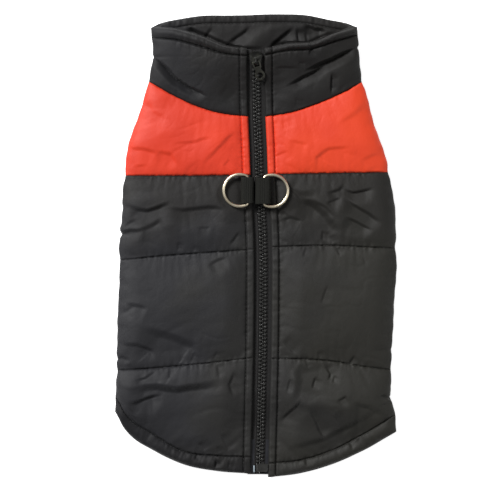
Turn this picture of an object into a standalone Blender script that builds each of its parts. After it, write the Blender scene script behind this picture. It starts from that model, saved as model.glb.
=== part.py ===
"""A quilted dog vest with a zip along the back, laid flat with the zip side up.

The collar points to +Y and the wearer's left side to -X. The vest is a flattened tube: the back
layer lies on the belly layer, and both roll into each other at the side folds.
Every size in the tables is in millimetres; meshes are made in metres.
"""

import math

import bmesh
import bpy
from mathutils import Matrix, Vector

MM = 0.001
LEFT, RIGHT = -1, 1
GAP = 0.3  # between two pieces that meet

# ---- heights above the surface that the vest lies on ----
BELLY_TOP = 5.1  # inner face of the belly layer
BACK_FLOOR = 5.9  # inner face of the back layer
FOLD_Z = 5.5  # where the two layers meet at the side folds
SEAM_RISE = 3.5  # back layer's thickness along a seam
PUFF_RISE = 3.3  # what the filling adds between two seams
PLACKET_RISE = 4.5  # the turned edge beside the zip
TAPE_FLOOR, TAPE_TOP = 6.3, 7.1
CHAIN_FLOOR, CHAIN_TOP = 5.9, 8.7

# ---- widths ----
WALL = 5.0  # cloth and filling at the side folds
BACK_ROLL = 18.0  # how far in from the fold the back layer is round
BELLY_ROLL = 14.0
ZIP_OPENING = 13.8  # between the two placket edges
PLACKET = 6.0  # from the placket edge to its topstitching
CHAIN_WIDTH = 5.6
TAPE_REACH = 9.6  # from the zip's middle to the tape's edge, under the placket
PADDING_RUN = 14.0  # from the topstitching, the filling thickens over this length
TURN_STEP = 2.0  # the turned edge steps down to the panel over this length
EDGE_ROUND = 3.0  # depth of the rounding along a free edge
ROUND_START, ROUND_SHUT = 0.35, 0.7  # where the rounding starts, and how far its last row shuts

# ---- the neck and the tail ----
NECK_RISE = 9.5  # the open collar stands this far off the rear one
TAIL_RUN = 34.0  # past the belly hem the back layer comes down to the surface over this length

# The zip's middle line and the two side folds, from the tail to the collar.
#        y      zip    left    right
COURSE = (
    (-190.0, 2.6, -112.6, 112.2),
    (-147.0, 3.6, -112.6, 112.2),
    (-133.0, 4.0, -112.4, 111.4),
    (-120.0, 4.2, -112.8, 107.4),
    (-98.0, 4.8, -111.8, 108.8),
    (-60.0, 5.4, -110.8, 109.8),
    (-8.0, 5.6, -109.4, 112.8),
    (16.0, 4.9, -108.0, 112.0),
    (58.0, 2.5, -105.6, 107.2),
    (78.0, 1.8, -102.4, 101.6),
    (104.0, 0.6, -94.4, 92.6),
    (131.0, 0.0, -86.6, 86.0),
    (150.0, -0.1, -82.6, 83.2),
    (176.0, -0.2, -84.0, 80.4),
    (186.0, -0.2, -84.0, 80.4),
)
ZIP_COLUMN = 1
FOLD_COLUMN = {LEFT: 2, RIGHT: 3}

# Lines across the vest: y at these shares of the way from the zip to the side fold.
#                   0.0     0.25    0.5     0.75    0.9     1.0
SHARES = (0.0, 0.25, 0.5, 0.75, 0.9, 1.0)
LINES = {
    ("rim", LEFT): (156.7, 159.5, 167.6, 173.2, 174.1, 174.8),
    ("rim", RIGHT): (156.7, 160.8, 162.4, 169.7, 173.0, 175.4),
    ("casing", LEFT): (151.2, 153.2, 159.0, 164.4, 166.0, 166.8),
    ("casing", RIGHT): (151.8, 155.6, 157.2, 163.4, 166.8, 169.0),
    ("crease", LEFT): (115.0, 115.0, 123.0, 138.0, 145.9, 151.0),
    ("crease", RIGHT): (115.0, 127.0, 138.0, 149.0, 155.6, 160.0),
    ("yoke_seam", LEFT): (103.4, 106.0, 112.2, 121.4, 127.4, 131.4),
    ("yoke_seam", RIGHT): (103.4, 106.8, 113.6, 121.8, 127.3, 131.0),
    ("chest_seam", LEFT): (56.8, 56.4, 56.2, 56.2, 56.3, 56.4),
    ("chest_seam", RIGHT): (57.4, 57.8, 58.2, 58.6, 58.8, 59.0),
    ("quilt_1", LEFT): (-2.7, -4.6, -6.5, -8.7, -10.4, -11.5),
    ("quilt_1", RIGHT): (-0.8, 0.1, 0.3, -0.8, -1.5, -2.0),
    ("quilt_2", LEFT): (-89.2, -92.6, -95.4, -97.8, -98.8, -99.4),
    ("quilt_2", RIGHT): (-90.0, -90.3, -92.0, -96.0, -97.9, -99.1),
    ("hem_seam", LEFT): (-168.8, -168.0, -164.4, -148.8, -137.6, -120.5),
    ("hem_seam", RIGHT): (-174.2, -171.6, -163.8, -150.4, -141.0, -134.4),
    ("hem_edge", LEFT): (-182.6, -180.6, -175.2, -162.4, -150.8, -132.5),
    ("hem_edge", RIGHT): (-185.6, -182.4, -175.2, -163.8, -154.8, -148.6),
    ("rear_rim", LEFT): (185.3, 184.9, 184.7, 181.6, 178.8, 174.8),
    ("rear_rim", RIGHT): (185.6, 185.9, 185.2, 181.2, 178.8, 175.4),
    ("belly_seam", LEFT): (-102.0, -103.0, -106.0, -111.0, -115.4, -120.5),
    ("belly_seam", RIGHT): (-102.0, -103.0, -107.0, -116.6, -125.6, -134.4),
    ("belly_edge", LEFT): (-114.0, -115.0, -118.0, -122.0, -126.6, -132.5),
    ("belly_edge", RIGHT): (-114.0, -115.0, -119.0, -129.0, -138.6, -148.6),
}

# The largest folds of the back layer, each a soft trough between two points.
#    name               x0      y0      x1      y1    width  depth
FOLDS = (
    ("left collar", -84.0, 150.0, -42.0, 120.0, 5.0, 3.2),
    ("right collar", 84.0, 160.0, 30.0, 129.0, 5.0, 3.2),
    ("left waist", -98.0, 30.0, -40.0, 34.0, 5.0, 2.2),
    ("right waist", 60.0, 38.0, 100.0, 18.0, 6.0, 2.4),
    ("right waist hollow", 44.0, 34.0, 58.0, 10.0, 8.0, 2.0),
    ("left tail", -108.0, -111.0, -44.0, -106.0, 6.0, 2.8),
    ("right tail", 66.0, -122.0, 106.0, -135.0, 6.0, 2.2),
    ("right tail slant", 20.0, -142.0, 36.0, -122.0, 5.0, 1.8),
)

# Where a panel is measured: shares of its width, and of the way from one line to the next.
COLUMNS = (0, 0.03, 0.055, 0.11, 0.18, 0.27, 0.36, 0.46, 0.56, 0.66, 0.76, 0.84, 0.9, 0.95, 0.98, 1)
CHANNEL_ROWS = (0, 0.1, 0.28, 0.5, 0.72, 0.9)
FINE_ROWS = (0, 0.06, 0.15, 0.25, 0.35, 0.45, 0.55, 0.65, 0.75, 0.85, 0.94)
CASING_ROWS = (0, 0.5)
BAND_ROWS = (0, 0.35, 0.7)
BELLY_ROWS = tuple(k / 24 for k in range(24))

# Leg holes in the belly layer.
LEG_X, LEG_Y = 47.0, 66.0  # centre of each, from the vest's middle line
LEG_HALF_WIDTH, LEG_HALF_LENGTH = 29.0, 35.0
BINDING = 6.5
LEG_SIDES = 28

# The zip's tapes and teeth, and the box and pin at its bottom.
TAPE_LOW, TAPE_HIGH = -183.0, 156.2
CHAIN_LOW = -173.8
CHAIN_INTO_SLIDER = 2.0
BOX_X, BOX_Y, BOX_WIDTH, BOX_LENGTH, BOX_HEIGHT, BOX_CORNER = 4.8, -177.6, 9.4, 6.4, 2.6, 1.0
PIN_X, PIN_Y, PIN_WIDTH, PIN_LENGTH, PIN_HEIGHT, PIN_CORNER = -1.5, -178.6, 1.3, 5.4, 1.2, 0.5

# Webbing loops and D-rings: wire radius, ring radius at the wire's middle.
WIRE = 1.3
RING_RADIUS = 12.7
BAR_OFFSET = 6.1  # from the ring's centre to its straight bar
BAR_CORNER = 0.8  # the bar bends away this far before the arc's own end
WEBBING = 1.2
LOOP_WIDTH = 21.0
LOOP_FLOOR = 10.8
BAR_Z = 14.0
LOOP_TOP = 17.0
#         side    bar x   bar y   loop x from, to
LOOPS = (
    (LEFT, -7.0, 44.4, -12.0, -1.6),
    (RIGHT, 6.6, 44.0, -0.6, 11.9),
)

# Slider and pull tab, in the slider's own frame: +Y to the collar, z = 0 under the bottom plate.
SLIDER_Y = 150.4  # middle of the slider along the zip
SLIDER_LENGTH = 11.0
SLIDER_WIDE, SLIDER_NARROW = 10.4, 8.0
SLIDER_PLATE = 1.2
SLIDER_CHANNEL = 3.4
ARCH_LENGTH, ARCH_RISE, ARCH_WIDTH, ARCH_WALL = 5.6, 3.4, 1.8, 1.2
PIVOT_BACK = 2.7  # from the slider's middle to the pull's crossbar, towards the tail
PULL_WIRE = 1.3
PULL_LENGTH = 11.2  # from the crossbar to the middle of its ring
PULL_RING, PULL_HOLE = 4.1, 2.4
EYE_HALF_WIDTH, EYE_LENGTH = 2.0, 3.9
PULL_SKEW = math.radians(17)
PULL_DIP = math.radians(3.5)
PIVOT_RISE = 1.25  # of the crossbar's middle over the slider's top plate


def clear_scene():
    for item in list(bpy.data.objects):
        bpy.data.objects.remove(item, do_unlink=True)


# ---- reading the tables ----


def smooth(share):
    share = min(max(share, 0.0), 1.0)
    return share * share * (3 - 2 * share)


def blend(low, high, share):
    return low + (high - low) * share


def through(places, values, at):
    """The value at one place of a smooth curve through the table's points."""
    at = min(max(at, places[0]), places[-1])
    k = max(j for j in range(len(places) - 1) if places[j] <= at)

    def slope(j):
        low, high = max(j - 1, 0), min(j + 1, len(places) - 1)
        return (values[high] - values[low]) / (places[high] - places[low])

    span = places[k + 1] - places[k]
    t = (at - places[k]) / span
    return (
        values[k] * (2 * t**3 - 3 * t**2 + 1)
        + span * slope(k) * (t**3 - 2 * t**2 + t)
        + values[k + 1] * (3 * t**2 - 2 * t**3)
        + span * slope(k + 1) * (t**3 - t**2)
    )


def course(column, y):
    return through([row[0] for row in COURSE], [row[column] for row in COURSE], y)


def line_y(line, side, share):
    return through(SHARES, LINES[line, side], share)


def fold_x(side, y):
    return course(FOLD_COLUMN[side], y)


def zip_x(y):
    return course(ZIP_COLUMN, y)


def back_x(side, share, y):
    """From the placket edge to the side fold."""
    return blend(zip_x(y) + side * ZIP_OPENING / 2, fold_x(side, y), share)


# ---- heights of the back layer ----


def neck_rise(side, share, y):
    start, end = line_y("crease", side, share), line_y("rim", side, share)
    return NECK_RISE * (1 - share**3) * smooth((y - start) / (end - start))


def tail_drop(side, share, y):
    return BACK_FLOOR * smooth((line_y("belly_edge", side, share) - y) / TAIL_RUN)


def lift(side, share, y):
    """How far the back layer is above or below its place over the belly."""
    return neck_rise(side, share, y) - tail_drop(side, share, y)


def fold_depth(x, y):
    depth = 0.0
    for _, x0, y0, x1, y1, width, deepest in FOLDS:
        start, run = Vector((x0, y0)), Vector((x1 - x0, y1 - y0))
        share = (Vector((x, y)) - start).dot(run) / run.length_squared
        beside = (Vector((x, y)) - start - run * share).length
        reach = smooth(min(share, 1 - share) * 4 + 0.5)
        depth += deepest * reach * math.exp(-((beside / width) ** 2))
    return depth


def over_fold(side, x, y, height):
    """The back layer's outer face rolls down to the side fold."""
    inward = min(abs(fold_x(side, y) - x) / BACK_ROLL, 1.0)
    seam = FOLD_Z + GAP / 2
    return seam + (height - seam) * math.sqrt(1 - (1 - inward) ** 2)


def back_outer(side, share, y, puff):
    x = back_x(side, share, y)
    from_edge = abs(x - zip_x(y)) - ZIP_OPENING / 2
    padding = smooth((from_edge - PLACKET + TURN_STEP / 2) / PADDING_RUN)
    turned = smooth((PLACKET + TURN_STEP / 2 - from_edge) / TURN_STEP) * (PLACKET_RISE - SEAM_RISE)
    height = BACK_FLOOR + SEAM_RISE + lift(side, share, y) + turned
    height += PUFF_RISE * puff * padding
    height -= fold_depth(x, y)
    return x, y, over_fold(side, x, y, height)


def back_inner(side, share, y, puff):
    x = back_x(side, share, y)
    from_edge = abs(x - zip_x(y)) - ZIP_OPENING / 2
    inward = abs(fold_x(side, y) - x)
    if inward < BACK_ROLL:
        x = fold_x(side, y) - side * (WALL + inward * (1 - WALL / BACK_ROLL))
    over_tape = (TAPE_TOP + 2 * GAP - BACK_FLOOR) * smooth((PLACKET - from_edge) / TURN_STEP)
    return x, y, BACK_FLOOR + lift(side, share, y) + over_tape


# ---- heights of the belly layer ----


def belly_x(share, y):
    """share runs from -1 at the left fold to 1 at the right one."""
    left, right = fold_x(LEFT, y), fold_x(RIGHT, y)
    return blend(left, right, (share + 1) / 2)


def belly_line(line, share):
    return line_y(line, LEFT if share < 0 else RIGHT, abs(share))


def belly_outer(share, y):
    x = belly_x(share, y)
    side = LEFT if share < 0 else RIGHT
    inward = min(abs(fold_x(side, y) - x) / BELLY_ROLL, 1.0)
    seam = FOLD_Z - GAP / 2
    return x, y, seam * (1 - math.sqrt(1 - (1 - inward) ** 2))


def belly_inner(share, y):
    x = belly_x(share, y)
    side = LEFT if share < 0 else RIGHT
    inward = abs(fold_x(side, y) - x)
    if inward < BELLY_ROLL:
        x = fold_x(side, y) - side * (WALL + inward * (1 - WALL / BELLY_ROLL))
    return x, y, BELLY_TOP


# ---- making solids ----


def finish(name, bm, material):
    """Turns a bmesh in millimetres into an object in metres."""
    bmesh.ops.recalc_face_normals(bm, faces=bm.faces[:])
    bmesh.ops.scale(bm, vec=(MM, MM, MM), verts=bm.verts[:])
    mesh = bpy.data.meshes.new(name)
    bm.to_mesh(mesh)
    bm.free()
    mesh.materials.append(material)
    item = bpy.data.objects.new(name, mesh)
    bpy.context.scene.collection.objects.link(item)
    return item


def slab(name, columns, rows, outer, inner, material):
    """A cloth wall: a grid, extruded once, whose two faces take their shape from two functions."""
    bm = bmesh.new()
    bmesh.ops.create_grid(bm, x_segments=columns - 1, y_segments=rows - 1, size=0.5)
    made = bmesh.ops.extrude_face_region(bm, geom=bm.faces[:])
    inside = {item for item in made["geom"] if isinstance(item, bmesh.types.BMVert)}
    for vert in bm.verts:
        column = round((vert.co.x + 0.5) * (columns - 1))
        row = round((vert.co.y + 0.5) * (rows - 1))
        face = inner if vert in inside else outer
        vert.co = face(column, row)
    bmesh.ops.triangulate(bm, faces=bm.faces[:])
    return finish(name, bm, material)


def row_places(lines, channels, top_round, bottom_round):
    """Each row of a panel: the two lines it lies between, its share of the way, and its rounding."""
    places = []
    for low, high, shares in zip(lines, lines[1:], channels):
        places += [(low, high, share, 0.0) for share in shares]
    places.append((lines[-2], lines[-1], 1.0, 0.0))
    if top_round:
        low, high, _, _ = places[-1]
        places[-1:] = [(low, high, 1.0, ROUND_START), (low, high, 1.0, 1.0)]
    if bottom_round:
        low, high, _, _ = places[0]
        places[:1] = [(low, high, 0.0, 1.0), (low, high, 0.0, ROUND_START)]
    return places


def rounded_in(part, rounding):
    """The row next to a rounded edge lies this far in from it along Y."""
    if 0 < rounding < 1:
        return EDGE_ROUND * 0.6 * (1 if part < 0.5 else -1)
    return 0.0


def shut(rounding):
    """How far the two faces of the wall come together on a row."""
    return 1 - math.sqrt(1 - rounding**2) if rounding < 1 else ROUND_SHUT


def row_y(place, side, share):
    """y on one row. Seams keep half a gap on each side, and a rounded edge comes in a little."""
    low, high, part, rounding = place
    y_low, y_high = line_y(low, side, share), line_y(high, side, share)
    return blend(y_low + GAP / 2, y_high - GAP / 2, part) + rounded_in(part, rounding)


def back_panel(name, side, lines, channels, material, top_round=False, bottom_round=False):
    places = row_places(lines, channels, top_round, bottom_round)

    def point(column, row, face):
        share, place = COLUMNS[column], places[row]
        y = row_y(place, side, share)
        puff = math.sin(math.pi * place[2]) ** 0.6 if 0 < place[2] < 1 else 0.0
        return face(side, share, y, puff)

    def closed(column, row, face):
        """Towards a free edge the two faces of the wall come together."""
        rounding = places[row][3]
        top = Vector(point(column, row, back_outer))
        low = Vector(point(column, row, back_inner))
        here = Vector(point(column, row, face))
        return here.x, here.y, blend(here.z, (top.z + low.z) / 2, shut(rounding))

    return slab(
        name,
        len(COLUMNS),
        len(places),
        lambda column, row: closed(column, row, back_outer),
        lambda column, row: closed(column, row, back_inner),
        material,
    )


def belly_slab(name, high_line, low_line, shares, material, top_round=False, bottom_round=False):
    columns = [-share for share in reversed(COLUMNS[3:])] + [0] + list(COLUMNS[3:])
    places = [(share, 0.0) for share in shares] + [(1.0, 0.0)]
    if top_round:
        places[-1:] = [(1.0, ROUND_START), (1.0, 1.0)]
    if bottom_round:
        places[:1] = [(0.0, 1.0), (0.0, ROUND_START)]

    def point(column, row, face):
        share, (part, rounding) = columns[column], places[row]
        low, high = belly_line(low_line, share), belly_line(high_line, share)
        x, y, z = face(share, blend(low + GAP / 2, high - GAP / 2, part) + rounded_in(part, rounding))
        outer_z, inner_z = belly_outer(share, y)[2], belly_inner(share, y)[2]
        return x, y, blend(z, (outer_z + inner_z) / 2, shut(rounding))

    return slab(
        name,
        len(columns),
        len(places),
        lambda column, row: point(column, row, belly_outer),
        lambda column, row: point(column, row, belly_inner),
        material,
    )


def zip_strip(name, near, far, floor, top, y_low, y_high, material):
    """A strip along the zip between two distances from its middle line."""
    stations = 60

    def point(column, row, z):
        y = blend(y_low, y_high, row / stations)
        side = LEFT if far < 0 else RIGHT
        return zip_x(y) + (near, far)[column], y, z + lift(side, 0.0, y)

    return slab(
        name,
        2,
        stations + 1,
        lambda column, row: point(column, row, top),
        lambda column, row: point(column, row, floor),
        material,
    )


def ellipse(half_width, half_length, sides):
    turns = [2 * math.pi * k / sides for k in range(sides)]
    return [(half_width * math.cos(a), half_length * math.sin(a)) for a in turns]


def prism(outline, floor, top):
    """An outline in the XY plane, extruded upwards."""
    bm = bmesh.new()
    face = bm.faces.new([bm.verts.new((x, y, floor)) for x, y in outline])
    made = bmesh.ops.extrude_face_region(bm, geom=[face])
    raised = [item for item in made["geom"] if isinstance(item, bmesh.types.BMVert)]
    bmesh.ops.translate(bm, verts=raised, vec=(0, 0, top - floor))
    return bm


def cutter(name, outline, floor, top, material):
    item = finish(name, prism(outline, floor, top), material)
    item.hide_render = True
    item.display_type = "WIRE"
    return item


def boolean(item, other, operation):
    modifier = item.modifiers.new(operation.lower(), "BOOLEAN")
    modifier.operation = operation
    modifier.object = other
    return modifier


# ---- materials ----


def material(name, colour, roughness, metallic=0.0):
    made = bpy.data.materials.new(name)
    made.use_nodes = True
    shader = made.node_tree.nodes["Principled BSDF"]
    shader.inputs["Base Color"].default_value = (*colour, 1.0)
    shader.inputs["Roughness"].default_value = roughness
    shader.inputs["Metallic"].default_value = metallic
    made.diffuse_color = (*colour, 1.0)
    return made


# ---- the cloth ----


def make_back(black, red):
    for side, word in ((LEFT, "left"), (RIGHT, "right")):
        lines, channels = ("yoke_seam", "casing", "rim"), (FINE_ROWS, CASING_ROWS)
        back_panel(f"yoke_{word}", side, lines, channels, black, top_round=True)
        back_panel(f"chest_band_{word}", side, ("chest_seam", "yoke_seam"), (CHANNEL_ROWS,), red)
        lines, channels = ("hem_seam", "quilt_2", "quilt_1", "chest_seam"), (FINE_ROWS, CHANNEL_ROWS, CHANNEL_ROWS)
        back_panel(f"back_panel_{word}", side, lines, channels, black)
        back_panel(f"hem_band_{word}", side, ("hem_edge", "hem_seam"), (BAND_ROWS,), black, bottom_round=True)


def make_belly(black):
    panel = belly_slab("belly_panel", "rear_rim", "belly_seam", BELLY_ROWS, black, top_round=True)
    belly_slab("belly_hem", "belly_seam", "belly_edge", BAND_ROWS, black, bottom_round=True)
    for side, word in ((LEFT, "left"), (RIGHT, "right")):
        hole = ellipse(LEG_HALF_WIDTH, LEG_HALF_LENGTH, LEG_SIDES)
        outline = [(x + side * LEG_X, y + LEG_Y) for x, y in hole]
        boolean(panel, cutter(f"leg_cut_{word}", outline, -1, BELLY_TOP + 1, black), "DIFFERENCE")
        leg_binding(f"leg_binding_{word}", side * LEG_X, LEG_Y, black)


def leg_binding(name, x, y, black):
    """A flat band sewn round a leg hole, rounded towards the hole."""
    # share of the band's width from the hole, height
    section = ((0.0, 1.6), (0.12, 0.5), (0.35, 0.0), (1.0, 0.0), (1.0, 5.0), (0.35, 5.0), (0.12, 4.4), (0.0, 3.4))
    rings = []
    bm = bmesh.new()
    for across, height in section:
        inset = GAP + BINDING * (1 - across)
        outline = ellipse(LEG_HALF_WIDTH - inset, LEG_HALF_LENGTH - inset, LEG_SIDES)
        rings.append([bm.verts.new((x + px, y + py, height)) for px, py in outline])
    for k, ring in enumerate(rings):
        other = rings[(k + 1) % len(rings)]
        for j in range(LEG_SIDES):
            n = (j + 1) % LEG_SIDES
            bm.faces.new((ring[j], ring[n], other[n], other[j]))
    return finish(name, bm, black)


# ---- the zip ----


def make_zip(tape, plastic, pin):
    half = CHAIN_WIDTH / 2
    for side, word in ((LEFT, "left"), (RIGHT, "right")):
        near, far = side * (half + GAP), side * TAPE_REACH
        zip_strip(f"zip_tape_{word}", near, far, TAPE_FLOOR, TAPE_TOP, TAPE_LOW, TAPE_HIGH, tape)
    chain_high = SLIDER_Y - SLIDER_LENGTH / 2 + CHAIN_INTO_SLIDER
    zip_strip("zip_chain", -half, half, CHAIN_FLOOR, CHAIN_TOP, CHAIN_LOW, chain_high, plastic)
    floor = TAPE_TOP + GAP + lift(RIGHT, 0.0, BOX_Y)
    outline = [(x + BOX_X, y + BOX_Y) for x, y in rounded(BOX_WIDTH, BOX_LENGTH, BOX_CORNER)]
    finish("zip_box", prism(outline, floor, floor + BOX_HEIGHT), plastic)
    outline = [(x + PIN_X, y + PIN_Y) for x, y in rounded(PIN_WIDTH, PIN_LENGTH, PIN_CORNER)]
    finish("zip_pin", prism(outline, floor, floor + PIN_HEIGHT), pin)


def rounded(width, length, radius, steps=4):
    """A rectangle's outline with quarter-circle corners."""
    outline = []
    for corner, (sx, sy) in enumerate(((1, 1), (-1, 1), (-1, -1), (1, -1))):
        cx, cy = sx * (width / 2 - radius), sy * (length / 2 - radius)
        for k in range(steps + 1):
            turn = math.pi / 2 * (corner + k / steps)
            outline.append((cx + radius * math.cos(turn), cy + radius * math.sin(turn)))
    return outline


def slider_slope():
    """The chain's slope where it enters the slider."""
    run = SLIDER_LENGTH / 2
    return math.atan2(lift(LEFT, 0, SLIDER_Y) - lift(LEFT, 0, SLIDER_Y - run), run)


def make_slider(metal):
    """Two plates round the chain, a post between them at the top, and a short arch for the pull."""
    wide, narrow, end = SLIDER_WIDE / 2, SLIDER_NARROW / 2, SLIDER_LENGTH / 2
    outline = (
        (-narrow, -end), (narrow, -end), (narrow + 0.4, -end * 0.1), (wide, end * 0.45), (wide - 1.4, end * 0.9),
        (1.6, end), (-1.6, end), (-wide + 1.4, end * 0.9), (-wide, end * 0.45), (-narrow - 0.4, -end * 0.1),
    )  # fmt: skip
    top = 2 * SLIDER_PLATE + SLIDER_CHANNEL
    centre = Vector((zip_x(SLIDER_Y), SLIDER_Y, CHAIN_FLOOR - 0.3 - SLIDER_PLATE + lift(LEFT, 0, SLIDER_Y)))
    frame = Matrix.Translation(centre * MM) @ Matrix.Rotation(slider_slope(), 4, "X")

    slider = finish("zip_slider", prism(outline, 0, top), metal)
    slider.matrix_world = frame
    half, post = CHAIN_WIDTH / 2 + 0.35, 2.4
    channel = ((-half, -end - 1), (half, -end - 1), (half, 1.6), (post, 3.0), (-post, 3.0), (-half, 1.6))
    # The tapes leave the slider through slots in its two sides, past the post.
    slots = (
        (-wide - 1, -end - 2), (wide + 1, -end - 2), (wide + 1, end + 1), (post, end + 1),
        (post, 2.0), (-post, 2.0), (-post, end + 1), (-wide - 1, end + 1),
    )  # fmt: skip
    cuts = (
        ("slider_channel", channel, SLIDER_PLATE, SLIDER_PLATE + SLIDER_CHANNEL),
        ("slider_slots", slots, SLIDER_PLATE + 0.1, SLIDER_PLATE + 1.9),
    )
    for name, shape, floor, ceiling in cuts:
        cut = cutter(name, shape, floor, ceiling, metal)
        cut.matrix_world = frame
        boolean(slider, cut, "DIFFERENCE")

    arch = finish("slider_arch", arch_mesh(top), metal)
    arch.matrix_world = frame
    arch.hide_render = True
    arch.display_type = "WIRE"
    boolean(slider, arch, "UNION")
    return frame, top


def arch_mesh(floor):
    """A bridge along the slider, an outline in the YZ plane given its width along X."""
    middle, half = -PIVOT_BACK, ARCH_LENGTH / 2
    outer = [(half * math.cos(a), ARCH_RISE * math.sin(a)) for a in (math.pi * k / 10 for k in range(11))]
    inside, rise = half - ARCH_WALL, ARCH_RISE - ARCH_WALL
    inner = [(inside * math.cos(a), rise * math.sin(a)) for a in (math.pi * k / 10 for k in range(11))]
    outline = [(outer[0][0], -0.4)] + outer + [(outer[-1][0], -0.4), (inner[-1][0], -0.4)]
    outline += inner[::-1] + [(inner[0][0], -0.4)]
    bm = bmesh.new()
    verts = [bm.verts.new((-ARCH_WIDTH / 2, y + middle, z + floor)) for y, z in outline]
    made = bmesh.ops.extrude_face_region(bm, geom=[bm.faces.new(verts)])
    moved = [item for item in made["geom"] if isinstance(item, bmesh.types.BMVert)]
    bmesh.ops.translate(bm, verts=moved, vec=(ARCH_WIDTH, 0, 0))
    bmesh.ops.triangulate(bm, faces=bm.faces[:])
    return bm


def make_pull(frame, slider_top, metal):
    """A small tab with a ring end. Its crossbar lies under the arch and is its hinge."""
    hinge = bpy.data.objects.new("pull_hinge", None)
    bpy.context.scene.collection.objects.link(hinge)
    pivot = Vector((0, -PIVOT_BACK, slider_top + PIVOT_RISE)) * MM
    hinge.matrix_world = frame @ Matrix.Translation(pivot) @ Matrix.Rotation(PULL_SKEW, 4, "Z")

    half, waist, shoulder = PULL_WIRE / 2, 2.0, EYE_HALF_WIDTH + 1.1
    turns = [math.radians(angle) for angle in range(-130, 131, 20)]
    outline = [(-shoulder, half), (-shoulder, -EYE_LENGTH - 0.8), (-waist, -EYE_LENGTH - 2.2)]
    outline += [(PULL_RING * math.sin(a), -PULL_LENGTH - PULL_RING * math.cos(a)) for a in turns]
    outline += [(waist, -EYE_LENGTH - 2.2), (shoulder, -EYE_LENGTH - 0.8), (shoulder, half)]
    pull = finish("zip_pull", prism(outline, -half, half), metal)

    wide = EYE_HALF_WIDTH
    eye = ((-wide, -half), (wide, -half), (wide, -EYE_LENGTH), (-wide, -EYE_LENGTH))
    hole = [(x, y - PULL_LENGTH) for x, y in ellipse(PULL_HOLE, PULL_HOLE, 16)]
    cuts = [cutter("pull_eye", eye, -2, 2, metal), cutter("pull_hole", hole, -2, 2, metal)]
    for item in [pull] + cuts:
        item.parent = hinge
        item.rotation_euler = (PULL_DIP, 0, 0)
    for cut in cuts:
        boolean(pull, cut, "DIFFERENCE")


# ---- D-rings in their webbing loops ----


def make_ring(name, side, bar_x, bar_y, metal):
    """A wire D: a straight bar, two tight corners and an arc. Its origin is on the bar."""
    reach = math.sqrt(RING_RADIUS**2 - BAR_OFFSET**2)
    first = math.atan2(reach, -BAR_OFFSET)
    turns = 36
    end = reach - BAR_CORNER
    path = [(0.0, blend(-end, end, k / 4)) for k in range(5)]
    for k in range(1, turns):
        angle = blend(first, -first, k / turns)
        path.append((BAR_OFFSET + RING_RADIUS * math.cos(angle), RING_RADIUS * math.sin(angle)))
    curve = bpy.data.curves.new(name, "CURVE")
    curve.dimensions = "3D"
    curve.bevel_depth = WIRE * MM
    curve.bevel_resolution = 2
    spline = curve.splines.new("POLY")
    spline.points.add(len(path) - 1)
    for point, (x, y) in zip(spline.points, path):
        point.co = (side * x * MM, y * MM, 0, 1)
    spline.use_cyclic_u = True
    curve.materials.append(metal)
    ring = bpy.data.objects.new(name, curve)
    bpy.context.scene.collection.objects.link(ring)
    ring.location = Vector((bar_x, bar_y, BAR_Z)) * MM
    return ring


def make_loop(name, x_low, x_high, y, webbing):
    """A strip of webbing turned back on itself: a flat ring in XZ, as long as the webbing is wide."""
    width, height = x_high - x_low, LOOP_TOP - LOOP_FLOOR

    def ring(inset):
        outline = rounded(width - 2 * inset, height - 2 * inset, height / 2 - inset - 0.05, steps=6)
        return [(px + (x_low + x_high) / 2, pz + (LOOP_TOP + LOOP_FLOOR) / 2) for px, pz in outline]

    outer, inner = ring(0.0), ring(WEBBING)
    bm = bmesh.new()
    ends = []
    for edge in (y - LOOP_WIDTH / 2, y + LOOP_WIDTH / 2):
        ends.append([[bm.verts.new((px, edge, pz)) for px, pz in points] for points in (outer, inner)])
    count = len(outer)
    for k in range(count):
        n = (k + 1) % count
        (out_a, in_a), (out_b, in_b) = ends
        bm.faces.new((out_a[k], out_a[n], out_b[n], out_b[k]))
        bm.faces.new((in_a[k], in_a[n], in_b[n], in_b[k]))
        bm.faces.new((out_a[k], out_a[n], in_a[n], in_a[k]))
        bm.faces.new((out_b[k], out_b[n], in_b[n], in_b[k]))
    return finish(name, bm, webbing)


def make_rings(metal, webbing):
    for side, bar_x, bar_y, x_low, x_high in LOOPS:
        word = "left" if side == LEFT else "right"
        make_loop(f"ring_loop_{word}", x_low, x_high, bar_y, webbing)
        make_ring(f"d_ring_{word}", side, bar_x, bar_y, metal)


def make_vest():
    black = material("black nylon", (0.035, 0.034, 0.034), 0.5)
    red = material("red nylon", (0.74, 0.07, 0.035), 0.5)
    webbing = material("black webbing", (0.018, 0.018, 0.017), 0.8)
    tape = material("zip tape", (0.02, 0.02, 0.02), 0.85)
    plastic = material("zip teeth", (0.03, 0.03, 0.028), 0.35)
    pin = material("zip pin", (0.6, 0.65, 0.7), 0.3)
    slider = material("slider enamel", (0.08, 0.08, 0.065), 0.4, 0.5)
    nickel = material("nickel wire", (0.78, 0.72, 0.6), 0.2, 1.0)
    make_back(black, red)
    make_belly(black)
    make_zip(tape, plastic, pin)
    frame, slider_top = make_slider(slider)
    make_pull(frame, slider_top, slider)
    make_rings(nickel, webbing)


clear_scene()
make_vest()
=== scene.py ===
import math

import bmesh
import bpy
import numpy as np
from mathutils import Matrix, Vector, noise


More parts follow.
